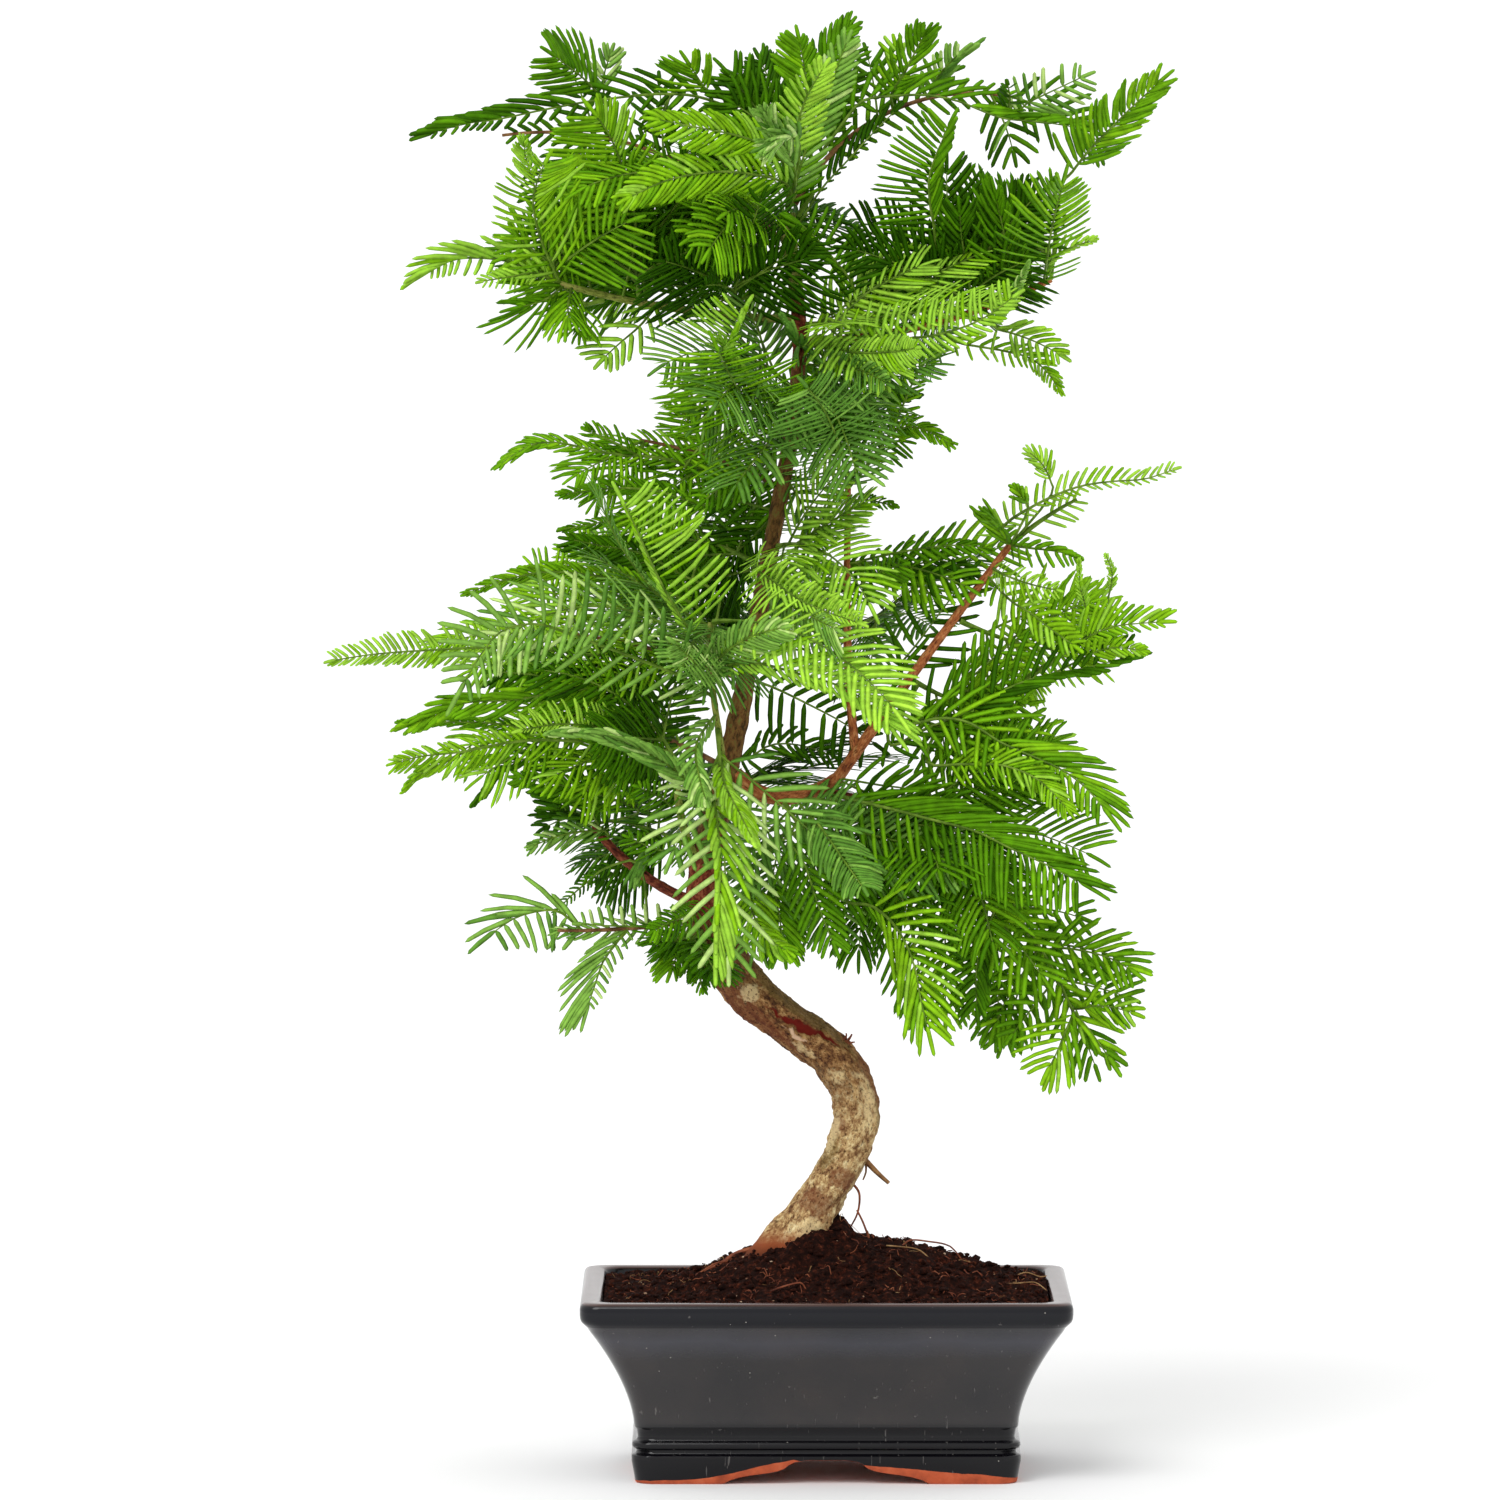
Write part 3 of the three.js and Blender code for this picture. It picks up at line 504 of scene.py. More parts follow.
# %% Scratches and pinholes
low_down = ramped(glaze, level, (BAND_TOP + 22) * MM, (BAND_TOP + 4) * MM, 0.03)
for stretch, least in (((900, 900, 60), 0.725), ((260, 700, 420), 0.76)):
    lines = arithmetic(glaze, "ADD", cloudy(glaze, place_of(glaze, stretch), 1.0), low_down)
    scratched = ramped(glaze, lines, least, least + 0.03, 0.22)
    tone = mixed(glaze, scratched, tone, colour(150, 146, 142))
cells = node(glaze, "TexVoronoi", vector=glaze_place, scale=210.0)
holes = arithmetic(glaze, "LESS_THAN", (cells, "Distance"), 0.055)
here_and_there = arithmetic(glaze, "GREATER_THAN", cloudy(glaze, glaze_place, 60.0, 1.0), 0.57)
specks = arithmetic(glaze, "MULTIPLY", holes, here_and_there)
tone = mixed(glaze, specks, tone, colour(132, 128, 122))
print("scratches and pinholes lie over the glaze")

# %% The bare clay
GLAZE_LINE = 0.2
# where the bare clay climbs: its middle, its reach to each side and its rise
BARE_PLACES = [(-12, 36, 7.8), (12, 70, 6)]
CLAY = (160, 5, 0.6)
CLAY_STOPS = [(0.3, (150, 68, 42)), (0.55, (186, 88, 54)), (0.8, (203, 112, 76))]
FULL_COAT = 0.66
THIN_COAT = 0.56

highest = 0.0
for x, reach, most in BARE_PLACES:
    away = arithmetic(glaze, "SUBTRACT", (split, "X"), MIDDLE.x + x * MM)
    away = arithmetic(glaze, "ABSOLUTE", away)
    rise = arithmetic(glaze, "MULTIPLY_ADD", away, -most / reach, most * MM)
    highest = arithmetic(glaze, "MAXIMUM", rise, highest)
line = arithmetic(glaze, "SUBTRACT", level, highest)
line = arithmetic(glaze, "MULTIPLY_ADD", cloudy(glaze, glaze_place, 70.0, 3.0), -2.0 * MM, line)
bare = arithmetic(glaze, "LESS_THAN", line, GLAZE_LINE * MM)
tone = mixed(glaze, bare, tone, mottled(glaze, glaze_place, *CLAY, CLAY_STOPS)[1])
on_lip = arithmetic(glaze, "GREATER_THAN", level, LIP_FOOT * MM)
at_foot = arithmetic(glaze, "LESS_THAN", level, BAND_TOP * MM)
lip_and_foot = arithmetic(glaze, "MAXIMUM", on_lip, at_foot)
coat = arithmetic(glaze, "MULTIPLY_ADD", lip_and_foot, -THIN_COAT, FULL_COAT)
coat = arithmetic(glaze, "MULTIPLY_ADD", bare, -FULL_COAT, coat)
coat = arithmetic(glaze, "MAXIMUM", coat, 0.0)
rough = arithmetic(glaze, "MULTIPLY_ADD", bare, 0.7, 0.16)
shade(glaze, Base_Color=tone, Roughness=rough, Coat_Weight=coat)
relief(glaze, cloudy(glaze, glaze_place, 55.0), 0.25, 0.4)

bare_clay = speckled("bare_clay", 0.9, 0.5, CLAY, CLAY_STOPS, 0.3)
for polygon in pot_mesh.polygons:
    facing_down = polygon.normal.z < -0.6 and polygon.center.z < (UNDERSIDE + 0.5) * MM
    polygon.material_index = 1 if facing_down else 0
finished("glazed_pot", pot_mesh, [glaze, bare_clay], "pot_glaze", "pot")

# %% [markdown]
# ## The soil
# Peaty soil is heaped round the trunk and slopes down to the lip. A fine grid carries the
# mound and its small lumps, and its rim is drawn down along the inside of the pot, so the soil
# is a solid block as it is in the real pot. Crumbs, fibres and pale grit lie on it as small
# joined meshes, because a bump pattern alone looks like painted ground.

# %% The mound
SEAT_GAP = 0.3
SOIL_EDGE = 65.5
SOIL_MARGIN = 2
Heap = namedtuple("Heap", "x y reach_x reach_y height")
HEAPS = [
    Heap(8, 4, 38, 28, 20), Heap(-24, -2, 11, 11, 3.4), Heap(-5, -10, 9, 6, 5.5),
    Heap(5.5, -1, 4, 5, 7), Heap(55, -8, 18, 30, 1.5),
]
SOIL_CORNER = 8
SOIL_CELLS = (170, 125)
soil_half = (POT_LENGTH / 2 - LIP_LAND - SEAT_GAP, POT_DEPTH / 2 - LIP_LAND - SEAT_GAP)


def soil_height(x, y):
    height = SOIL_EDGE + 0.5 * math.sin(0.31 * x + 0.9) * math.cos(0.27 * y)
    height += 0.4 * math.sin(0.17 * x - 0.23 * y)
    for heap in HEAPS:
        off = ((x - heap.x) / heap.reach_x) ** 2 + ((y - heap.y) / heap.reach_y) ** 2
        height += heap.height * math.exp(-off / 2)
    place = Vector((x, y, 0))
    return height + 1.7 * noise.fractal(place * 0.16, 0.9, 2.2, 5) + 0.6 * noise.cell(place * 0.7)


soil_shape = bmesh.new()
bmesh.ops.create_grid(soil_shape, x_segments=SOIL_CELLS[0], y_segments=SOIL_CELLS[1], size=1)
for vert in soil_shape.verts:
    x, y = vert.co.x * soil_half[0], vert.co.y * soil_half[1]
    over = Vector((abs(x) - soil_half[0] + SOIL_CORNER, abs(y) - soil_half[1] + SOIL_CORNER))
    if over.x > 0 and over.y > 0:
        over *= max(over) / over.length
        x = math.copysign(soil_half[0] - SOIL_CORNER + over.x, x)
        y = math.copysign(soil_half[1] - SOIL_CORNER + over.y, y)
    vert.co = (x, y, soil_height(x, y))

rim_edges = [edge for edge in soil_shape.edges if edge.is_boundary]
skirt = [(POT_HEIGHT - 7, LIP_LAND + 1.5)]
skirt += [(height, flare_inset(height) + WALL) for height in (NECK_HEIGHT - 3, 42, 32, 24)]
skirt += [(POT_FLOOR + SEAT_GAP, FOOT_INSET + WALL + 3)]
inset = LIP_LAND
skirt_half = list(soil_half)
for height, next_inset in skirt:
    made = bmesh.ops.extrude_edge_only(soil_shape, edges=rim_edges)["geom"]
    rim_edges = [item for item in made if isinstance(item, bmesh.types.BMEdge) and item.is_boundary]
    shrink = [(half - next_inset + inset) / half for half in skirt_half]
    skirt_half = [half - next_inset + inset for half in skirt_half]
    for vert in {vert for edge in rim_edges for vert in edge.verts}:
        vert.co = (vert.co.x * shrink[0], vert.co.y * shrink[1], height)
    inset = next_inset
bmesh.ops.edgeloop_fill(soil_shape, edges=rim_edges)

PEAT_STOPS = [(0.36, (16, 6, 5)), (0.52, (36, 15, 9)), (0.62, (72, 32, 20)), (0.74, (132, 76, 50))]
peat = speckled("peat", 0.95, 0.08, (420, 8, 0.75), PEAT_STOPS, 0.9, 1.2)
finished("soil_mound", smoothed(mesh_from("soil", soil_shape), 50), [peat], "peat_soil", "soil")

# %% [markdown]
# Crumbs, grit and needles all repeat one small shape thousands of times. One template is
# stamped out by array arithmetic into a single joined mesh, which is far quicker than
# thousands of objects and is what an exported model can carry.

# %% Joined meshes from arrays


def mesh_from_arrays(name, points, loops, sizes):
    """A mesh from its corners in millimetres, the corners of all its faces in a row, and how
    many of them each face has."""
    mesh = bpy.data.meshes.new(name)
    places = np.asarray(points, float) * MM + np.array(MIDDLE)
    mesh.vertices.add(len(places))
    mesh.vertices.foreach_set("co", places.astype(np.float32).ravel())
    mesh.loops.add(len(loops))
    mesh.loops.foreach_set("vertex_index", np.asarray(loops, np.int32))
    mesh.polygons.add(len(sizes))
    mesh.polygons.foreach_set("loop_start", (np.cumsum(sizes) - sizes).astype(np.int32))
    mesh.update(calc_edges=True)
    mesh.validate()
    return mesh


def joined_mesh(name, points, faces):
    """Many copies of one shape. points is copies x corners x 3, and faces are of one copy."""
    copies, corners, _ = points.shape
    flat = np.array([corner for face in faces for corner in face])
    loops = flat[None] + corners * np.arange(copies)[:, None]
    sizes = np.tile([len(face) for face in faces], copies)
    return mesh_from_arrays(name, points.reshape(-1, 3), loops.ravel(), sizes)


def template(shape):
    """The corners and the faces of a small shape."""
    points = np.array([vert.co[:] for vert in shape.verts])
    return points, [[vert.index for vert in face.verts] for face in shape.faces]


def anywhere(draws):
    """A place on the soil, a little away from its edge."""
    return tuple(draws.uniform(-1, 1, 2) * (np.array(soil_half) - SOIL_MARGIN))


def lumps(name, material, seed, count, smallest, largest):
    """Lumps strewn over the soil."""
    draws = np.random.default_rng(seed)
    shape = bmesh.new()
    bmesh.ops.create_icosphere(shape, subdivisions=1, radius=1)
    ball, faces = template(shape)
    points = ball[None] * (draws.uniform(0.6, 1.2, (count, 1, 3)) * np.array([1, 1, 0.7]))
    points *= draws.uniform(0.7, 1.15, (count, len(ball), 1))
    size = smallest + (largest - smallest) * draws.uniform(0, 1, count) ** 3
    turn = draws.uniform(0, 2 * math.pi, count)[:, None]
    points *= size[:, None, None]
    x, y = points[..., 0].copy(), points[..., 1].copy()
    points[..., 0] = x * np.cos(turn) - y * np.sin(turn)
    points[..., 1] = x * np.sin(turn) + y * np.cos(turn)
    places = [anywhere(draws) for _ in range(count)]
    sunk = [(x, y, soil_height(x, y) + 0.1 * lump) for (x, y), lump in zip(places, size)]
    mesh = joined_mesh(name, points + np.array(sunk)[:, None], faces)
    finished(name, mesh, [material], "peat_soil")


GRIT_STOPS = [(0.35, (92, 58, 40)), (0.5, (142, 106, 80)), (0.7, (206, 184, 160))]
grit = speckled("grit", 0.9, 0.2, (260, 4, 0.6), GRIT_STOPS)
lumps("soil_crumbs", peat, seed=11, count=3000, smallest=0.3, largest=2.3)
lumps("soil_grit", grit, seed=12, count=260, smallest=0.18, largest=0.7)

# %% [markdown]
# ## The growing plan
# Trunk, boughs and sprays follow one simple rule. A shoot starts on its limb, heads a certain
# way in plan (az: 0 right, 90 back) and above the level (el), and its heading turns evenly
# from one key to the next along its length. Tables of words say it in millimetres and degrees,
# as a bonsai grower might wire it. A word with slashes is a list of keys.

# %% Tables


def read_word(word):
    try:
        numbers = tuple(float(number) for number in word.split("/"))
    except ValueError:
        return word
    return numbers if "/" in word else numbers[0]


def read_table(text):
    """Rows of words. An indented line goes on with the row above it, and # starts a note."""
    lines = text.replace("\n    ", " ").splitlines()
    return [[read_word(word) for word in line.split()] for line in lines if line and line[0] != "#"]


TRUNK_FOOT = (-11.5, 0, 78)
TRUNK_LENGTH = 415
TRUNK_STEPS = 28
TRUNK_LEAN = [
    76, 63, 61, 78, 118, 143, 142, 132, 112, 90, 77, 76,
    78, 79, 79, 79.5, 79.5, 79.5, 80, 82, 88, 95, 99, 92,
]
TRUNK_RADIUS = [
    10.2, 8.9, 8.4, 8.4, 8.9, 9, 8, 6.2, 4.6, 3.9, 3.5, 3.2, 3, 2.9, 2.8, 2.7, 2.7, 2.9,
]

Bough = namedtuple("Bough", "name on at az el length radius bark")
BOUGHS = [Bough(*row) for row in read_table("""
bough_low_left trunk 0.374 167/167 22/52 44 2/1.5 red
bough_green_shoot trunk 0.4 -140/-110 60/88 34 1.6/1.3 green
bough_front trunk 0.455 -75/-150 42/96 76 1.4/1 green
bough_right_low trunk 0.502 -6/-6 -44/6/36 38 3/2.5 orange
bough_right bough_right_low 1 9/9 54/52 106 2.2/1.3 orange
bough_right_drop bough_right_low 0.72 -14/12 -6/-48 66 1.6/1.1 red
bough_second_stem bough_right 0.1 110/75 70/88 94 1.7/1.1 orange
bough_upper_left trunk 0.905 -170/-170 2/16 88 1.6/1.1 green
bough_upper_right trunk 0.885 8/8 2/26 94 1.6/1.1 orange
""")]
print(f"{len(BOUGHS)} boughs")

# %% The way of a shoot


def between(keys, t):
    """A value between evenly spaced keys."""
    place = min(max(t, 0), 1) * (len(keys) - 1)
    below = min(int(place), max(len(keys) - 2, 0))
    above = min(below + 1, len(keys) - 1)
    return keys[below] + (keys[above] - keys[below]) * (place - below)


def directions(az, el):
    """Forward, sideways and upwards for a shoot that heads az in plan and el above the level."""
    a, e = math.radians(az), math.radians(el)
    forward = Vector((math.cos(e) * math.cos(a), math.cos(e) * math.sin(a), math.sin(e)))
    side = Vector((math.sin(a), -math.cos(a), 0))
    return forward, side, side.cross(forward)


def turned(first, second, angle):
    """The way that lies at an angle from the first way towards the second."""
    return first * math.cos(angle) + second * math.sin(angle)


class Line:
    """The centre line of a shoot."""

    def __init__(self, start, az, el, length, steps, radius=(1,)):
        self.az, self.el, self.length, self.steps, self.radius = az, el, length, steps, radius
        self.places = [Vector(start)]
        for step in range(steps):
            heading = self.frame((step + 0.5) / steps)[0]
            self.places.append(self.places[-1] + heading * (length / steps))

    def frame(self, share):
        return directions(between(self.az, share), between(self.el, share))

    def point(self, share):
        place = share * self.steps
        below = min(int(place), self.steps - 1)
        return self.places[below].lerp(self.places[below + 1], place - below)

    def smooth_point(self, share):
        """A point on the smooth curve through the line's places."""
        place = min(max(share, 0), 1) * self.steps
        below = min(int(place), self.steps - 1)
        t = place - below
        leave, arrive = (
            self.frame(step / self.steps)[0] * (self.length / self.steps) for step in (below, below + 1)
        )
        point = self.places[below] * (2 * t**3 - 3 * t**2 + 1) + leave * (t**3 - 2 * t**2 + t)
        return point + self.places[below + 1] * (3 * t**2 - 2 * t**3) + arrive * (t**3 - t**2)


# %% [markdown]
# A shoot stands a hair clear of its limb in the measured model. How far is found by stepping
# it outwards until its first corner meets a corner of the measured solid.

# %% Where each shoot stands
MATCH = 0.05
SEAT_STEP = 0.2
SEAT_TRIES = 150
BOUGH_STEP = 14
corner_finders = {}


def on_solid(name, point):
    """True where a measured solid has a corner at this point."""
    if name not in corner_finders:
        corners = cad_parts[name].data.vertices
        finder = KDTree(len(corners))
        for index, corner in enumerate(corners):
            finder.insert((corner.co - MIDDLE) / MM, index)
        finder.balance()
        corner_finders[name] = finder
    return corner_finders[name].find(point)[2] < MATCH


def seated(name, limb, at, az, el, length, step, radius):
    heading = directions(az[0], el[0])[0]
    offset = 0.6 * between(limb.radius, at) if at < 1 else 0
    steps = max(2 if name.startswith("bough") else 1, int(length / step + 0.5))
    for _ in range(SEAT_TRIES):
        line = Line(limb.point(at) + heading * offset, az, el, length, steps, radius)
        if on_solid(name, line.places[0] + line.frame(0)[2] * radius[0]):
            return line
        offset += SEAT_STEP
    raise ValueError(f"{name} doesn't stand on its limb")


limbs = {"trunk": Line(TRUNK_FOOT, (0,), TRUNK_LEAN, TRUNK_LENGTH, TRUNK_STEPS, TRUNK_RADIUS)}
for name, on, at, az, el, length, radius, _ in BOUGHS:
    limbs[name] = seated(name, limbs[on], at, az, el, length, BOUGH_STEP, radius)
print("limbs stand where they were measured")

# %% [markdown]
# ## Trunk and boughs
# Old bark on this tree peels in thin plates: cream and tan on the thick lower bend, with
# darker brown between, and red-brown and smoother on the thin upper stem. Each limb starts as
# a cone with many rings, and every corner is laid round the limb's centre line at its own
# radius, so that root ridges, plates and knots are real relief. Each corner also keeps its
# place along the grain as an attribute, which the bark's pattern follows round the bends.

# %% Limbs with relief


def ringed(shape, sides, rings):
    """An upright bar of the height 1 with rings of corners."""
    bmesh.ops.create_cone(shape, cap_ends=True, segments=sides, radius1=1, radius2=1, depth=1)
    upright = [edge for edge in shape.edges if abs(edge.verts[0].co.z - edge.verts[1].co.z) > 0.5]
    bmesh.ops.subdivide_edges(shape, edges=upright, cuts=rings)


def limb_mesh(name, line, sides, spacing, sunk, radius_at):
    """A closed limb. radius_at(t, angle, grain) gives the radius in millimetres, and sunk is
    how far the limb goes on below its start."""
    shape = bmesh.new()
    ringed(shape, sides, max(4, int((line.length + sunk) / spacing)) - 1)
    grain = []
    for vert in shape.verts:
        reach = (vert.co.z + 0.5) * (line.length + sunk) - sunk
        t = max(0, reach / line.length)
        angle = math.atan2(vert.co.y, vert.co.x)
        forward, side, up = line.frame(t)
        thick = between(line.radius, t)
        along = Vector((math.cos(angle) * thick, math.sin(angle) * thick, reach))
        centre = line.smooth_point(t) + forward * min(0, reach)
        vert.co = centre + turned(side, up, angle) * radius_at(t, angle, along)
        grain.append(along)
    for cap in [face for face in shape.faces if len(face.verts) > 4]:
        bmesh.ops.poke(shape, faces=[cap])
    grain += [Vector((0, 0, 0))] * (len(shape.verts) - len(grain))
    mesh = mesh_from(name, shape)
    attribute = mesh.attributes.new("grain", "FLOAT_VECTOR", "POINT")
    attribute.data.foreach_set("vector", np.array(grain, np.float32).ravel())
    return smoothed(mesh, 60)


def plates(grain, size, stretch, steps):
    """Bark in thin plates: noise cut into a few levels, with soft edges."""
    level = noise.fractal(Vector((grain.x / size, grain.y / size, grain.z / (size * stretch))), 1, 2, 3)
    raised = (level + 1) * steps
    edge = raised - math.floor(raised)
    return (math.floor(raised) + min(1, edge * 4)) / steps - 1


# %% [markdown]
# Marks are soft spots on the trunk. Each says how far up it lies, at what angle round it (0
# faces the viewer), how far it reaches along and round, and how strong it is. The hollows dent
# the trunk. The others are stains: moss, rust and pale worn places.

# %% Marks on the trunk
WOUND = {"from": 0.176, "to": 0.286, "top": 0.1, "swing": 1.35, "wide": 0.1, "deep": 1.3}
MOUTH = {"at": 0.52, "reach": 0.14, "wider": 2.0}
WOUND_LIP = {"off": 1.7, "wide": 0.55, "high": 0.6}
MARKS = {}
for kind, *mark in read_table("""
hollow 0.25 -1.57 0.05 1 2.2
hollow 0.075 1.57 0.05 1 2.4
moss 0.23 -1.1 0.05 0.55 1
moss 0.27 -1 0.03 0.5 1
moss 0.1 0.7 0.02 0.4 1
moss 0.15 -1.4 0.02 0.4 1
rust 0.29 0.8 0.04 0.6 1
rust 0.245 0.9 0.03 0.3 0.8
rust 0.055 0.2 0.014 1 0.9
rust 0.13 0.8 0.008 0.5 1
rust 0.165 -1.3 0.02 0.4 1
rust 0.085 -0.5 0.01 0.7 1
pale 0.29 0.1 0.01 0.5 0.8
pale 0.22 0.6 0.02 0.3 0.6
pale 0.15 -0.7 0.03 0.5 0.6
pale 0.12 0.9 0.03 0.4 0.7
pale 0.03 -0.2 0.014 0.7 0.7
pale 0.18 0.3 0.012 0.5 0.55
"""):
    MARKS.setdefault(kind, []).append(mark)
print(f"{sum(map(len, MARKS.values()))} marks of {len(MARKS)} kinds")


def strength(kind, t, angle):
    """How strongly the marks of one kind lie on one place of the trunk."""
    total = 0
    for at, centre, along, around, most in MARKS[kind]:
        off = math.remainder(angle - centre, 2 * math.pi) / around
        total += most * math.exp(-(((t - at) / along) ** 2) - off**2)
    return total


def wound_shape(t, angle):
    """How deep a point lies in the old wound on the lower bend, and how far it is raised on the
    swollen lip beside it, both from 0 to 1."""
    share = (t - WOUND["from"]) / (WOUND["to"] - WOUND["from"])
    if not 0 < share < 1:
        return 0, 0
    middle = WOUND["top"] - WOUND["swing"] * (1 - share) ** 2
    middle += 0.07 * math.sin(29 * share) + 0.05 * math.sin(61 * share)
    mouth = math.exp(-(((share - MOUTH["at"]) / MOUTH["reach"]) ** 2))
    off = math.remainder(angle - middle, 2 * math.pi)
    off /= WOUND["wide"] * (1 + MOUTH["wider"] * mouth)
    fade = math.sin(math.pi * share) ** 0.5
    lip = (off - WOUND_LIP["off"]) / WOUND_LIP["wide"]
    return math.exp(-(off**4)) * fade, math.exp(-lip * lip) * fade * (0.3 + 0.7 * mouth)


# %% The trunk's shape
FLARE_DEPTH = 6.5
FLARE_HEIGHT = 7
FLARE_LIMIT = 0.9
FOOT_SUNK = 9
LEFT_ROOT = {"x": -22, "fall": 0.5}
FLUTED_SHARE = 0.5
TRUNK_SIDES = 72
RING_SPACING = 1


def trunk_radius(t, angle, grain):
    height = grain.z
    left = max(0, math.cos(angle - math.pi / 2)) ** 2
    ridges = 0.35 + 0.65 * left + 0.15 * math.cos(5 * angle)
    swell = FLARE_DEPTH * math.exp(min(FLARE_LIMIT, (3 - height) / FLARE_HEIGHT)) * ridges
    flutes = 1 + 0.04 * math.cos(3 * angle + height / 14) + 0.03 * math.cos(5 * angle - height / 9)
    thick = between(TRUNK_RADIUS, t)
    old = min(1, thick / 8)
    rough = 0.75 * old * plates(grain, 2.8, 1.9, 3) + 0.34 * old * noise.noise(grain * 0.9)
    body = thick * (flutes if t < FLUTED_SHARE else 1) * (1 + 0.07 * noise.noise(grain * 0.09))
    depth, lip = wound_shape(t, angle)
    body -= strength("hollow", t, angle) + WOUND["deep"] * depth
    return body + swell + rough + WOUND_LIP["high"] * lip


trunk_mesh = limb_mesh("trunk", limbs["trunk"], TRUNK_SIDES, RING_SPACING, FOOT_SUNK, trunk_radius)
for vert in trunk_mesh.vertices:
    beyond = LEFT_ROOT["x"] - (vert.co.x - MIDDLE.x) / MM
    if beyond > 0 and vert.co.z < (TRUNK_FOOT[2] + 12) * MM:
        vert.co.z -= LEFT_ROOT["fall"] * beyond * MM
print(f"trunk mesh: {len(trunk_mesh.polygons)} faces")

# %% [markdown]
# Bark finishes read the grain attribute, so their patterns follow the limb round its bends.
# Two patterns make bark: patches, where plates of different age lie side by side, and fine
# flakes with dark gaps between them. The old bark also changes with height: tan and cream low
# down, brown above, red-brown at the fork and green at the young tip. The wound, its lip, the
# moss and the worn places are further attributes, masks that each let one colour show.

# %% Bark
BARK_TONES = {
    "old": [(92, 58, 34), (152, 114, 74), (196, 164, 112), (232, 214, 166)],
    "brown": [(58, 32, 18), (102, 66, 38), (146, 104, 62), (190, 152, 100)],
    "mid": [(46, 32, 12), (84, 60, 26), (124, 84, 44), (112, 112, 50)],
    "red": [(58, 20, 10), (96, 36, 20), (132, 62, 38), (170, 104, 70)],
    "green": [(64, 74, 20), (98, 110, 38), (128, 136, 56), (176, 162, 104)],
    "young_orange": [(112, 56, 32), (150, 82, 44), (178, 106, 60), (196, 140, 88)],
    "young_red": [(70, 26, 18), (104, 42, 28), (130, 62, 40), (160, 96, 64)],
    "young_green": [(88, 96, 34), (120, 132, 48), (146, 156, 70), (160, 140, 84)],
}
PATCH_SPOTS = (0.36, 0.45, 0.53, 0.64)
WHITE = (255, 255, 255)


def along_grain(material, across, along):
    grain = (node(material, "Attribute", attribute_name="grain"), "Vector")
    return stretched(material, grain, (across, across, along))


def patchy(material, tones, across, along):
    """Patches of several tones, from the hollows to the plates."""
    stops = list(zip(PATCH_SPOTS, BARK_TONES[tones]))
    return mottled(material, along_grain(material, across, along), 1.0, 8, 0.74, stops)[1]


def flaked(material, source, crack, across, along, depth):
    """Darkens the gaps between the flakes of a bark, and raises the flakes."""
    place = along_grain(material, across, along)
    pattern, tone = mottled(material, place, 1.0, 6, 0.7, [(0.38, crack), (0.46, WHITE), (1, WHITE)])
    relief(material, pattern, depth, 0.5)
    return mixed(material, 0.8, source, tone, "MULTIPLY")


def by_height(source, low, high, tone):
    """Turns the old bark's colour into another between two heights in millimetres."""
    share = ramped(old_bark, (height_in(old_bark), "Z"), low * MM, high * MM)
    return mixed(old_bark, share, source, tone)


def marked(source, name, tone, low=0.8, high=1.05, most=0.6):
    """Lays a colour on the old bark where the mesh carries this mark, with a ragged edge."""
    mark = (node(old_bark, "Attribute", attribute_name=name), "Fac")
    share = ramped(old_bark, arithmetic(old_bark, "ADD", mark, ragged), low, high, most)
    return mixed(old_bark, share, source, colour(*tone))


def give_mark(name, value_at):
    """Writes a value for each corner of the trunk. value_at(t, angle) gives it."""
    corners = [corner.vector for corner in trunk_mesh.attributes["grain"].data]
    values = [value_at(c.z / TRUNK_LENGTH, math.atan2(c.y, c.x)) for c in corners]
    attribute = trunk_mesh.attributes.new(name, "FLOAT", "POINT")
    attribute.data.foreach_set("value", np.array(values, np.float32))


# %% The old bark
STAINS = {"moss": (112, 92, 48), "rust": (116, 62, 38), "pale": (232, 208, 156)}

old_bark = finish("old_bark", BARK_TONES["old"][1], 0.85, Specular_IOR_Level=0.2)
brown = patchy(old_bark, "brown", 0.4, 0.3)
mid = patchy(old_bark, "mid", 0.5, 0.24)
red = patchy(old_bark, "red", 0.5, 0.3)
green = patchy(old_bark, "green", 0.5, 0.16)
ragged = cloudy(old_bark, along_grain(old_bark, 0.6, 0.5), 1.0, 8.0)
bark = by_height(patchy(old_bark, "old", 0.42, 0.34), 128, 152, brown)
bark = by_height(bark, 176, 196, mid)
for name, stain in STAINS.items():
    bark = marked(bark, name, stain)
    give_mark(name, lambda t, angle, name=name: min(1, strength(name, t, angle)))
bark = flaked(old_bark, bark, (86, 54, 34), 1.1, 0.8, 0.9)
for low, high, tone in (
    (200, 207, red), (222, 236, mid), (402, 414, red), (430, 437, green),
    (90, 84, colour(138, 70, 38)), (84, 78, colour(50, 22, 14)),
):
    bark = by_height(bark, low, high, tone)
bark = marked(bark, "lip", (226, 190, 158), 1.0, 1.3, 0.8)
bark = marked(bark, "wound", (104, 20, 8), 0.96, 1.3, 1.0)
shade(old_bark, Base_Color=bark)
give_mark("wound", lambda t, angle: wound_shape(t, angle)[0])
give_mark("lip", lambda t, angle: wound_shape(t, angle)[1])
finished("trunk_bark", trunk_mesh, [old_bark], "old_bark", "trunk")

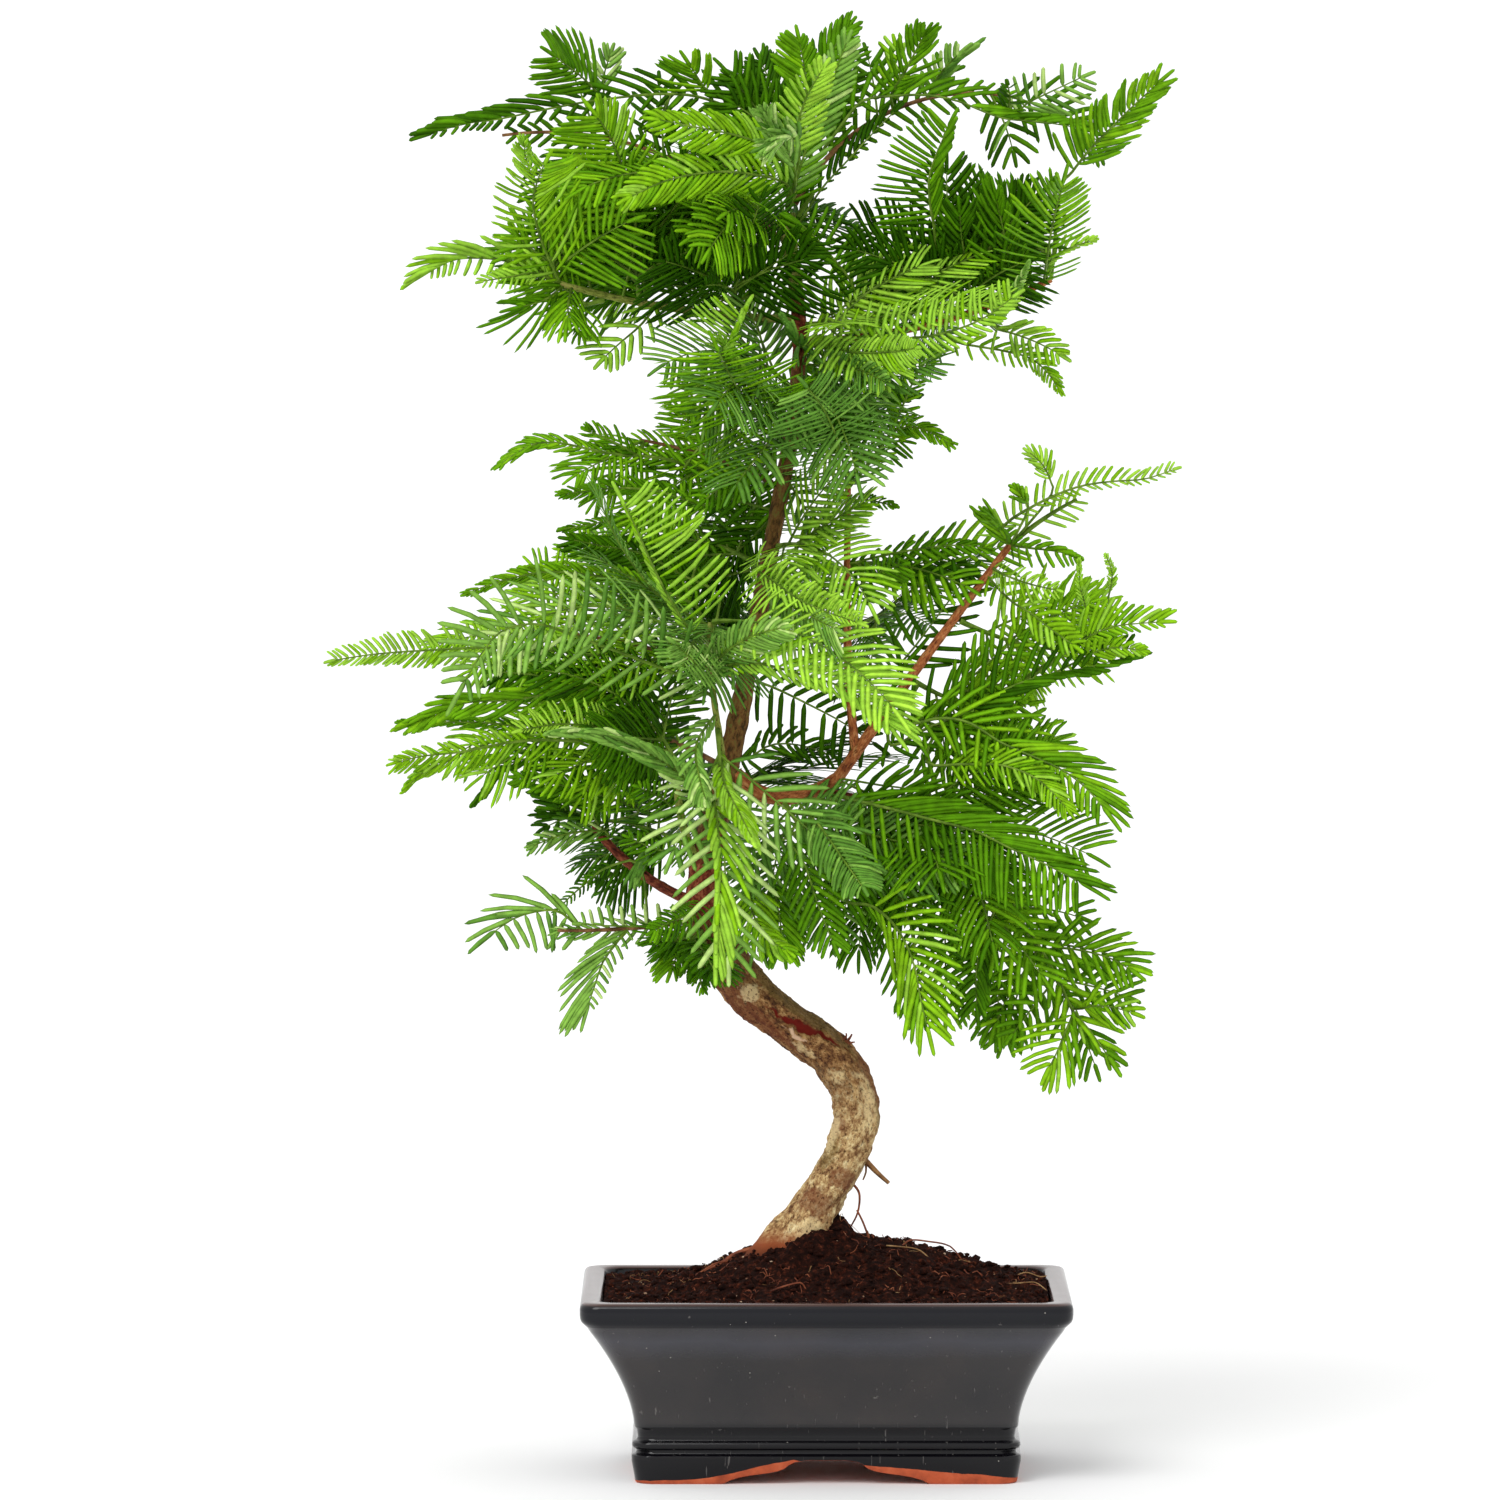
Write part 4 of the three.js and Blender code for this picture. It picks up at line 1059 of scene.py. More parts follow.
# %% The boughs
BOUGH_SIDES = 14
BOUGH_RING_SPACING = 1.6
BOUGH_SUNK = 3.5
young_barks = {}
for bough in BOUGHS:
    if bough.bark in young_barks:
        continue
    tones = f"young_{bough.bark}"
    material = finish(f"{bough.bark}_bark", BARK_TONES[tones][1], 0.8, Specular_IOR_Level=0.2)
    tone = patchy(material, tones, 0.6, 0.27)
    shade(material, Base_Color=flaked(material, tone, (90, 70, 56), 1.3, 0.42, 0.5))
    young_barks[bough.bark] = material


def bough_radius(line):
    """A young bough's thickness, with swollen rings where leaves have fallen."""

    def radius_at(t, angle, grain):
        ring = 0.09 * math.exp(-((math.remainder(grain.z, 9)) ** 2) / 1.2)
        return between(line.radius, t) * (1 + ring) + 0.12 * noise.noise(grain * 0.9)

    return radius_at


for name, *_, bark in BOUGHS:
    line = limbs[name]
    mesh = limb_mesh(name, line, BOUGH_SIDES, BOUGH_RING_SPACING, BOUGH_SUNK, bough_radius(line))
    finished(f"{name}_bark", mesh, [young_barks[bark]], "young_bark", name)

# %% [markdown]
# ## The sprays
# A frond of this tree is a thin green rib with soft flat needles in two rows. Each spray below
# has a stem, a long frond at its end and pairs of side fronds. The rule and its seeded draws
# are the ones that made the solid blades, so every frond lies where its blade does. Between
# the pairs come smaller fronds, which the plain solids leave out.

# %% The spray table
Spray = namedtuple(
    "Spray", "name on at az el axis stem pairs side splay face needle green look fill"
)
SPRAYS = [Spray(*row) for row in read_table("""
leader trunk 1 20 88/50 72 0.3 2 46 44 -74 19 mid grown 0.5
arch_right trunk 0.995 15 62/-40 136 0.72 4 26 58 -80 14 mid open 0
arch_left trunk 0.965 170 48/-26 150 0.76 4 32 58 80 14 deep open 0
apex_left trunk 0.975 -148 44/-20 88 0.2 1 54 42 44 20 bright grown 0.6
apex_right trunk 0.985 -30 52/44 66 0.16 0 34 45 -56 18 deep grown 0
front_arch_left bough_front 0.8 -150 44/-36 134 0.1 0 40 40 48 26 soft sparse 0
front_arch_right bough_front 1 -42 8/-42 94 0.1 0 40 40 -44 23 lime open 0
front_droop bough_front 0.5 -84 -58/-72 88 0.16 1 54 32 -2 21 pale sparse 0
left_long trunk 0.58 174 22/-16 153 0.44 2 52 36 60 18 light young 0.3
left_mid trunk 0.5 -173 30/-26 136 0.42 2 50 36 56 18 light young 0.3
mid_left_high trunk 0.755 -172 26/-8 112 0.46 2 48 40 62 16 bright young 0.3
right_fan bough_right_drop 0.3 -22 -2/-22 100 0.24 1 66 38 -56 24 fresh grown 0.3
hanging_right bough_right_drop 1 4 -52/-70 96 0.54 3 42 54 -82 16 fresh open 0
right_mid bough_right 0.2 20 14/-48 100 0.3 2 56 40 -60 20 light sparse 0.2
right_outer bough_right 0.68 6 -26/10 84 0.3 2 48 46 -76 18 light young 0.2
bough_end bough_right 1 -5 42/4 73 0.4 2 34 48 -70 13 light young 0
crown_left_tip bough_upper_left 1 -120 70/96 62 0.15 1 52 34 -30 22 bright grown 0.6
crown_left_mid bough_upper_left 0.64 -120 76/84 70 0.15 1 60 36 -26 22 mid grown 0.6
crown_left_inner bough_upper_left 0.26 -70 58/44 62 0.2 1 56 42 -8 21 deep grown 0.6
crown_left_low bough_upper_left 0.9 -172 22/-14 66 0.26 1 42 42 50 13 fresh young 0
crown_left_under bough_upper_left 0.74 -156 -10/-44 40 0.25 1 36 56 60 16 bright young 0.2
crown_right_tip bough_upper_right 1 6 102/30 90 0.12 1 58 34 -86 22 mid grown 0.6
crown_right_mid bough_upper_right 0.62 -120 66/90 74 0.15 1 60 40 -26 22 deep grown 0.6
crown_right_low bough_upper_right 0.62 -24 -14/-34 50 0.3 1 38 44 -50 13 bright young 0
crown_back trunk 0.95 96 38/4 94 0.3 2 56 48 20 20 deep grown 0.6
crown_back_left bough_upper_left 0.45 120 44/4 80 0.25 1 58 46 34 20 mid grown 0.6
crown_back_right bough_upper_right 0.45 62 44/4 80 0.25 1 58 46 34 20 deep grown 0.6
upper_bright trunk 0.9 -29 5/10 98 0.14 1 60 34 -34 18 lime grown 0.6
upper_left trunk 0.84 -142 38/-22 82 0.2 1 54 44 40 22 soft grown 0.6
upper_front trunk 0.855 -66 -8/-60 60 0.24 1 52 50 -30 20 soft grown 0.6
mid_front_left trunk 0.62 -138 6/66 94 0.3 1 56 44 30 20 soft grown 0.6
mid_front trunk 0.7 -52 12/-50 70 0.2 1 52 46 -46 19 lime grown 0.6
mid_back trunk 0.775 84 24/-16 94 0.3 2 50 50 14 20 mid grown 0.6
mid_back_left trunk 0.68 134 22/-14 98 0.3 2 58 46 34 20 fresh grown 0.6
back_high trunk 0.585 92 34/-14 98 0.34 2 56 50 16 20 mid grown 0.6
second_stem_top bough_second_stem 1 -6 72/0 58 0.24 1 50 50 -70 18 fresh young 0.3
second_stem_right bough_second_stem 0.7 10 2/10 70 0.2 1 52 40 -60 18 bright open 0.2
second_stem_back bough_second_stem 0.42 62 18/-22 86 0.3 1 56 46 30 20 deep grown 0.6
left_low bough_low_left 1 162 30/-22 66 0.22 1 42 46 66 15 deep open 0.3
left_lowest trunk 0.365 -168 -8/10 90 0.55 1 38 66 66 12 soft young 0
shoot_tuft bough_green_shoot 1 -160 64/6 64 0.2 1 52 48 54 19 mid grown 0.6
low_centre trunk 0.36 -112 -14/-50 44 0.24 1 38 46 24 18 mid grown 0.8
low_back trunk 0.47 72 14/-22 96 0.3 2 58 48 14 20 deep grown 0.6
low_back_left trunk 0.42 136 20/-14 90 0.3 1 54 46 34 19 mid grown 0.6
low_front_right bough_right_low 0.4 -50 -40/-78 62 0.2 1 56 48 -50 21 grey grown 0.6
hanging_front bough_right_drop 0.1 -54 -34/-82 86 0.25 1 52 44 -50 18 mid grown 0.4
hanging_inner bough_right_drop 0.68 -84 -70/-92 60 0.14 1 52 46 -14 18 bright open 0.3
right_inner bough_right 0.42 -14 -30/16 78 0.24 1 50 42 -66 18 bright open 0.3
""")]
print(f"{len(SPRAYS)} sprays")

# %% The rule
STEM_RADIUS = 1.5
STEM_TAPER = 0.25
STEM_STEP = 16
BLADE_SLENDERNESS = 90
BLADE_THINNEST = 0.8
BLADE_STEPS = 10
BLADE_SINK = 2
TERMINAL_ROLL_JITTER = 10
FACE_JITTER = 16
SPLAY_JITTER = 14
SIZE_JITTER = 0.3
DROOP = 26
STEEPEST = -88
LAST_PAIR_SHARE = 0.35
TRIES = 6
FIRST_SWING = 12
MORE_SWING = 10
SHORTER = 0.09
NARROWER = 0.06

Frond = namedtuple("Frond", "start az el length needle roll")


def seeded_draws(seed):
    """Draws the same numbers each time, between 0 and 1."""
    state = 7919 * seed + 17

    def draw():
        nonlocal state
        state = state * 16807 % 2147483647
        return state / 2147483647

    draw()
    draw()
    return draw


def side_frond(spray, line, share, hand, face, splay, size, sink):
    """A frond that leaves the stem to one hand, in a plane turned by face about the stem."""
    forward, side, up = directions(spray.az, between(line.el, share))
    face = math.radians(face)
    way = turned(forward, turned(side, up, face) * hand, math.radians(splay))
    az, el = math.degrees(math.atan2(way.y, way.x)), math.degrees(math.asin(way.z))
    _, own_side, own_up = directions(az, el)
    normal = turned(up, -side, face)
    roll = math.degrees(math.atan2(-normal.dot(own_side), normal.dot(own_up)))
    heading = (el, max(el - sink, STEEPEST))
    needle = spray.needle * (0.8 + 0.2 * size)
    return Frond(line.point(share), (az, az), heading, spray.side * size, needle, roll)


def wished_fronds(spray, line, draw):
    roll = spray.face + TERMINAL_ROLL_JITTER * (draw() - 0.5)
    start = line.places[-1] - line.frame(1)[0] * BLADE_SINK
    length = spray.axis * (1 - spray.stem) + BLADE_SINK
    fronds = [Frond(start, (spray.az,) * 2, (line.el[1], spray.el[1]), length, spray.needle, roll)]
    for pair in range(int(spray.pairs)):
        share = (pair + 1) / (spray.pairs + LAST_PAIR_SHARE)
        for hand in (-1, 1):
            face = spray.face + FACE_JITTER * (draw() - 0.5)
            splay = spray.splay + SPLAY_JITTER * (draw() - 0.5)
            size = 1 + SIZE_JITTER * (draw() - 0.5)
            fronds.append(side_frond(spray, line, share, hand, face, splay, size, DROOP * draw()))
    return fronds


def varied(wish, attempt, draw):
    swing, lift = draw() - 0.5, draw() - 0.5
    reach = FIRST_SWING + MORE_SWING * attempt if attempt else 0
    return wish._replace(
        az=tuple(value + reach * swing for value in wish.az),
        el=tuple(value + reach * lift for value in wish.el),
        length=wish.length * (1 - SHORTER * attempt),
        needle=wish.needle * (1 - NARROWER * attempt),
    )


def frond_line(frond):
    return Line(frond.start, frond.az, frond.el, frond.length, BLADE_STEPS)


def was_kept(name, frond):
    """True where the measured solid has this blade's tip."""
    line = frond_line(frond)
    _, side, up = line.frame(1)
    half = max(BLADE_THINNEST, frond.length / BLADE_SLENDERNESS) / 2
    return on_solid(name, line.places[-1] + turned(up, -side, math.radians(frond.roll)) * half)


stems, kept_fronds, skipped_fronds = {}, {}, {}
for index, spray in enumerate(SPRAYS):
    name = f"foliage_{spray.name}"
    stem_el = (spray.el[0], between(spray.el, spray.stem))
    radius = (STEM_RADIUS, STEM_RADIUS * (1 - STEM_TAPER))
    length = spray.axis * spray.stem
    line = seated(name, limbs[spray.on], spray.at, (spray.az,), stem_el, length, STEM_STEP, radius)
    draw = seeded_draws(index + 1)
    kept, skipped = [], []
    for wish in wished_fronds(spray, line, draw):
        trials = [varied(wish, attempt, draw) for attempt in range(TRIES)]
        match = next((trial for trial in trials if was_kept(name, trial)), None)
        (kept if match else skipped).append(match or wish)
    stems[spray.name], kept_fronds[spray.name], skipped_fronds[spray.name] = line, kept, skipped
print(f"{sum(map(len, kept_fronds.values()))} fronds lie on their blades")
print(f"{sum(map(len, skipped_fronds.values()))} more found no room as blades")

# %% [markdown]
# ## Needles
# One needle is a flat strip with a narrow foot, straight sides and a blunt round tip, lightly
# keeled on both faces. It is a cone of six rings flattened to four sides, so it is closed, and
# it has only a few dozen faces because there are thousands of it.

# %% One needle
NEEDLE_SHARES = (0.0, 0.05, 0.16, 0.6, 0.92, 1.0)
NEEDLE_WIDTHS = (0.0, 0.55, 1.0, 1.0, 0.8, 0.0)
NEEDLE_THICKNESS = 0.34

needle_shape = bmesh.new()
ringed(needle_shape, 4, len(NEEDLE_SHARES) - 2)
for vert in needle_shape.verts:
    ring = round((vert.co.z + 0.5) * (len(NEEDLE_SHARES) - 1))
    wide = NEEDLE_WIDTHS[ring]
    vert.co = (vert.co.x * wide, vert.co.y * wide, NEEDLE_SHARES[ring])
bmesh.ops.remove_doubles(needle_shape, verts=needle_shape.verts, dist=1e-4)
big_faces = [face for face in needle_shape.faces if len(face.verts) > 4]
bmesh.ops.triangulate(needle_shape, faces=big_faces)
bmesh.ops.recalc_face_normals(needle_shape, faces=needle_shape.faces)
needle_points, needle_faces = template(needle_shape)
NEEDLE_TRIANGLES = sum(len(face) - 2 for face in needle_faces)
print(f"a needle has {len(needle_points)} corners and {NEEDLE_TRIANGLES} triangles")

# %% [markdown]
# Fronds differ in how they carry their needles. Grown ones are even and open. Young ones are
# short, crowded and curly. Long ones hang loosely. The rows below give the spacing, the width,
# the angle to the rib at the foot and at the tip, and how far a needle droops and curves, as a
# share of its length.

# %% Needles on a rib
Look = namedtuple("Look", "pitch width foot_angle tip_angle droop curve unrest")
LOOKS = {
    "grown": Look(3.4, 1.75, 66, 42, 0.10, 0.14, 1.0),
    "open": Look(4.6, 1.9, 60, 40, 0.06, 0.08, 1.0),
    "sparse": Look(6.2, 2.1, 58, 42, 0.06, 0.06, 1.2),
    "young": Look(3.0, 1.45, 60, 34, 0.12, 0.16, 2.6),
    "long": Look(3.2, 1.8, 30, 10, 0.16, 0.10, 1.6),
}
TONES = ("shade", "deep", "mid", "fresh", "bright", "light", "lime")
SHADED_TONES = ("grey", "soft", "pale")
BARE_SHARE = 0.1
BREADTH_TO_LENGTH = 1.2
MISSING_SHARE = 0.03
DEEPEST = (cad_box[1][1] - MIDDLE.y) / MM + 2
RIB_RADIUS = (0.55, 0.22)
STEM_TUBE_RADIUS = (1.15, 0.6)

Row = namedtuple("Row", "length foot_angle tip_angle lean")
needles = {}
tubes = {"green": [], "brown": [], "root": [], "straw": []}


def near_tone(green, step):
    """The green that lies step places along from this one."""
    row = TONES if green in TONES else SHADED_TONES
    return row[min(max(row.index(green) + step, 0), len(row) - 1)]


def breadth_at(share):
    opening = 0.72 + 0.28 * min(1, share / 0.25)
    return opening * (1 - 0.5 * max(0, (share - 0.55) / 0.45) ** 1.7)


def add_needle(green, foot, along, wide, face, length, *form):
    """Keeps one needle for later. It ends inside the measured model's depth."""
    reach = abs(foot.y + along.y * length)
    if reach > DEEPEST > abs(foot.y):
        length *= (DEEPEST - abs(foot.y)) / (reach - abs(foot.y))
    needles.setdefault(green, []).append((*foot, *along, *wide, *face, length, *form))


def dress(line, rows, roll, look, green, draws, first=BARE_SHARE, last=1.0, spare=1.0):
    """Sets needles along a line. rows holds the row on each hand, and spare widens the spacing."""
    look = LOOKS[look]
    roll = math.radians(roll)
    drift = draws.uniform(0, 2 * math.pi)
    droop = look.droop * draws.uniform(0.4, 1.8)
    curve = look.curve * draws.uniform(0.3, 1.7)
    distance = first * line.length
    while distance < last * line.length:
        share = distance / line.length
        forward, side, up = line.frame(share)
        across, normal = turned(side, up, roll), turned(up, -side, roll)
        foot = line.smooth_point(share)
        sway = 4 * math.sin(drift + 5 * share)
        for hand, row in rows.items():
            if draws.random() < MISSING_SHARE:
                continue
            angle = row.foot_angle + (row.tip_angle - row.foot_angle) * share**1.5
            angle += sway + look.unrest * draws.normal(0, 1.4)
            lift = math.radians(row.lean + look.unrest * draws.normal(0, 2.2))
            along = turned(turned(forward, across * hand, math.radians(angle)), normal, lift).normalized()
            wide = normal.cross(along).normalized()
            wide = turned(wide, along.cross(wide), math.radians(look.unrest * draws.normal(0, 4)))
            length = row.length * breadth_at(share) * draws.uniform(0.9, 1.06)
            width = look.width * draws.uniform(0.88, 1.08) * min(1, length / 9) ** 0.5
            bend = hand * curve * draws.uniform(0.7, 1.3)
            fall = droop * draws.uniform(0.7, 1.3)
            shift = forward * draws.uniform(-0.3, 0.3)
            tone = near_tone(green, draws.choice((-1, 0, 0, 0, 0, 1)))
            add_needle(tone, foot + shift, along, wide, along.cross(wide), length, width, fall, bend)
        distance += look.pitch * spare * draws.uniform(0.9, 1.1) * (1 - 0.15 * share)
    if last == 1.0:
        forward, side, up = line.frame(1)
        across = turned(side, up, roll)
        length = 0.45 * max(row.length for row in rows.values())
        end = line.smooth_point(1)
        add_needle(green, end, forward, across, across.cross(forward), length, look.width * 0.9, 0.1, 0)


def even_rows(needle, look, draws):
    """Both rows alike, each leaning a little to the upper face."""
    angles = LOOKS[look].foot_angle, LOOKS[look].tip_angle
    return {hand: Row(BREADTH_TO_LENGTH * needle, *angles, draws.normal(6, 5)) for hand in (-1, 1)}


def add_tube(kind, line, first_radius, last_radius, spacing=4):
    tubes[kind].append((line, first_radius, last_radius, max(3, int(line.length / spacing))))


# %% [markdown]
# A crown has an outline and open places in it, and both belong to this plant as much as its
# trunk does. They are given as the camera sees them. A frond that would grow across one is
# grown shorter, or not at all, so the sky stays where it is and the back still fills.

# %% The crown's outline
HALF_IMAGE = IMAGE_SIDE / 2
eye = (CAMERA_PLACE - MIDDLE) / MM
tilt = math.radians(CAMERA_PITCH)
ahead = Vector((0, math.cos(tilt), -math.sin(tilt)))
above = Vector((0, math.sin(tilt), math.cos(tilt)))


def place_seen(u, v, depth):
    """The point that the camera sees at column u and row v, at a depth behind the pot's middle."""
    ray = ahead * FOCAL_LENGTH_PIXELS + Vector((u - HALF_IMAGE, 0, 0)) + above * (HALF_IMAGE - v)
    return eye + ray * ((depth - eye.y) / ray.y)


def seen_at(point):
    """The column and the row at which the camera sees a point."""
    offset = point - eye
    scale = FOCAL_LENGTH_PIXELS / offset.dot(ahead)
    return Vector((HALF_IMAGE + offset.x * scale, HALF_IMAGE - offset.dot(above) * scale))


OUTLINE = sum(read_table("""
515/150 520/90 545/55 590/45 650/62 720/52 790/45 830/26 945/22 965/62 1000/86 1050/85
1110/68 1140/92 1098/172 1066/215 1056/275 1036/320 1012/345 940/350 925/390 930/440 890/470
872/505 880/545 960/542 1000/505 1040/468 1082/482 1074/510 1034/532 1060/572 1108/570
1145/620 1110/690 1040/694 1024/722 1080/750 1130/800 1100/850 1104/900 1140/940 1148/1000
1134/1055 1080/1085 1020/1068 1008/1042 960/1022 890/1030 878/980 842/944 780/975 700/985
655/965 636/935 600/902 578/875 540/842 500/790 400/780 412/700 420/660 444/610 480/572
540/560 570/520 562/472 530/450 600/430 660/432 655/360 600/345 500/330 500/285 475/258
500/225 520/190
"""), [])
OPENINGS = sum(read_table("""
930/124/76/22 1000/132/22/18 858/150/16/30 848/195/18/26 772/275/10/20 818/298/16/18
762/507/15/24 926/580/16/12 940/665/30/34 964/640/22/28 1044/914/14/14 820/680/14/8
"""), [])
SHRINK = 0.82
SMALLEST = 0.4
ALLOWED_OUTSIDE = 0.2
TIP_FORWARD, TIP_ACROSS = 0.6, 0.8


def in_outline(u, v):
    inside = False
    for (u0, v0), (u1, v1) in zip(OUTLINE, OUTLINE[1:] + OUTLINE[:1]):
        if (v0 > v) != (v1 > v) and u < u0 + (u1 - u0) * (v - v0) / (v1 - v0):
            inside = not inside
    return inside


def in_opening(u, v):
    return any(((u - a) / c) ** 2 + ((v - b) / d) ** 2 < 1 for a, b, c, d in OPENINGS)


def share_outside(frond):
    """The share of a frond's rib and needle tips that lies outside the crown."""
    line = frond_line(frond)
    places = []
    for share in (0.35, 0.7, 1):
        forward, side, up = line.frame(share)
        across = turned(side, up, math.radians(frond.roll))
        point = line.point(share)
        reach = BREADTH_TO_LENGTH * frond.needle * breadth_at(share)
        ways = [forward * TIP_FORWARD + across * hand * TIP_ACROSS for hand in (-1, 1)]
        places += [seen_at(place) for place in (point, *(point + way * reach for way in ways))]
    outside = [not in_outline(*place) or in_opening(*place) for place in places]
    return sum(outside) / len(outside)


def fitted(frond):
    """The frond, shortened until it keeps inside the crown, or None."""
    size = 1
    while size > SMALLEST:
        needle = frond.needle * (0.5 + 0.5 * size)
        smaller = frond._replace(length=frond.length * size, needle=needle)
        if share_outside(smaller) <= ALLOWED_OUTSIDE:
            return smaller
        size *= SHRINK


print(f"an outline of {len(OUTLINE)} points with {len(OPENINGS)} open places")

# %% [markdown]
# The fronds that the solids carry are dressed first. Those that found no room as thick blades
# fit well as thin fronds, a little shorter. Then smaller fronds fill in between the pairs, so
# that a spray looks as full as a living one. Fronds whose middle lies inside the crown get a
# green one step darker, as painted shade.

# %% Growing all the sprays
SKIPPED_SIZE = 0.85
INFILL_SIZE = (0.45, 0.75)
INFILL_FACE = 34
STEM_NEEDLE = 0.6
# fronds whose middle lies between these depths get painted shade: a green one step darker
PAINTED_SHADE_DEPTHS = (-45, 45)


def grow_frond(frond, look, green, draws):
    """Dresses a frond. Its green is darker, as painted shade, where its middle lies inside the crown."""
    line = frond_line(frond)
    add_tube("green", line, *RIB_RADIUS)
    shaded = PAINTED_SHADE_DEPTHS[0] < line.smooth_point(0.6).y < PAINTED_SHADE_DEPTHS[1]
    rows = even_rows(frond.needle, look, draws)
    dress(line, rows, frond.roll, look, near_tone(green, -1 if shaded else 0), draws)


left_out = 0
for index, spray in enumerate(SPRAYS):
    draws = np.random.default_rng(100 + index)
    line = stems[spray.name]
    woody = spray.on == "trunk" and spray.stem > 0.4
    add_tube("brown" if woody else "green", line, *STEM_TUBE_RADIUS)
    if spray.stem > 0.3:
        rows = even_rows(spray.needle * STEM_NEEDLE, spray.look, draws)
        dress(line, rows, spray.face, spray.look, spray.green, draws, first=0.25, last=0.99, spare=1.2)
    fronds = list(kept_fronds[spray.name])
    for frond in skipped_fronds[spray.name]:
        length, needle = frond.length * SKIPPED_SIZE, frond.needle * SKIPPED_SIZE
        fronds.append(frond._replace(length=length, needle=needle))
    for number in range(round(3 * (spray.pairs + 2) * spray.fill)):
        share = draws.uniform(0.25, 0.98)
        face = spray.face + INFILL_FACE * draws.uniform(-1, 1)
        splay = spray.splay + draws.uniform(-6, 22)
        size = draws.uniform(*INFILL_SIZE)
        hand = 1 if number % 2 else -1
        fronds.append(side_frond(spray, line, share, hand, face, splay, size, DROOP * draws.random()))
    for number, frond in enumerate(fronds):
        frond = fitted(frond)
        if frond:
            grow_frond(frond, spray.look, spray.green, np.random.default_rng((index, number)))
        else:
            left_out += 1
print(f"{sum(map(len, needles.values()))} needles, {sum(map(len, tubes.values()))} ribs and stems")
print(f"{left_out} fronds would have crossed the open sky")
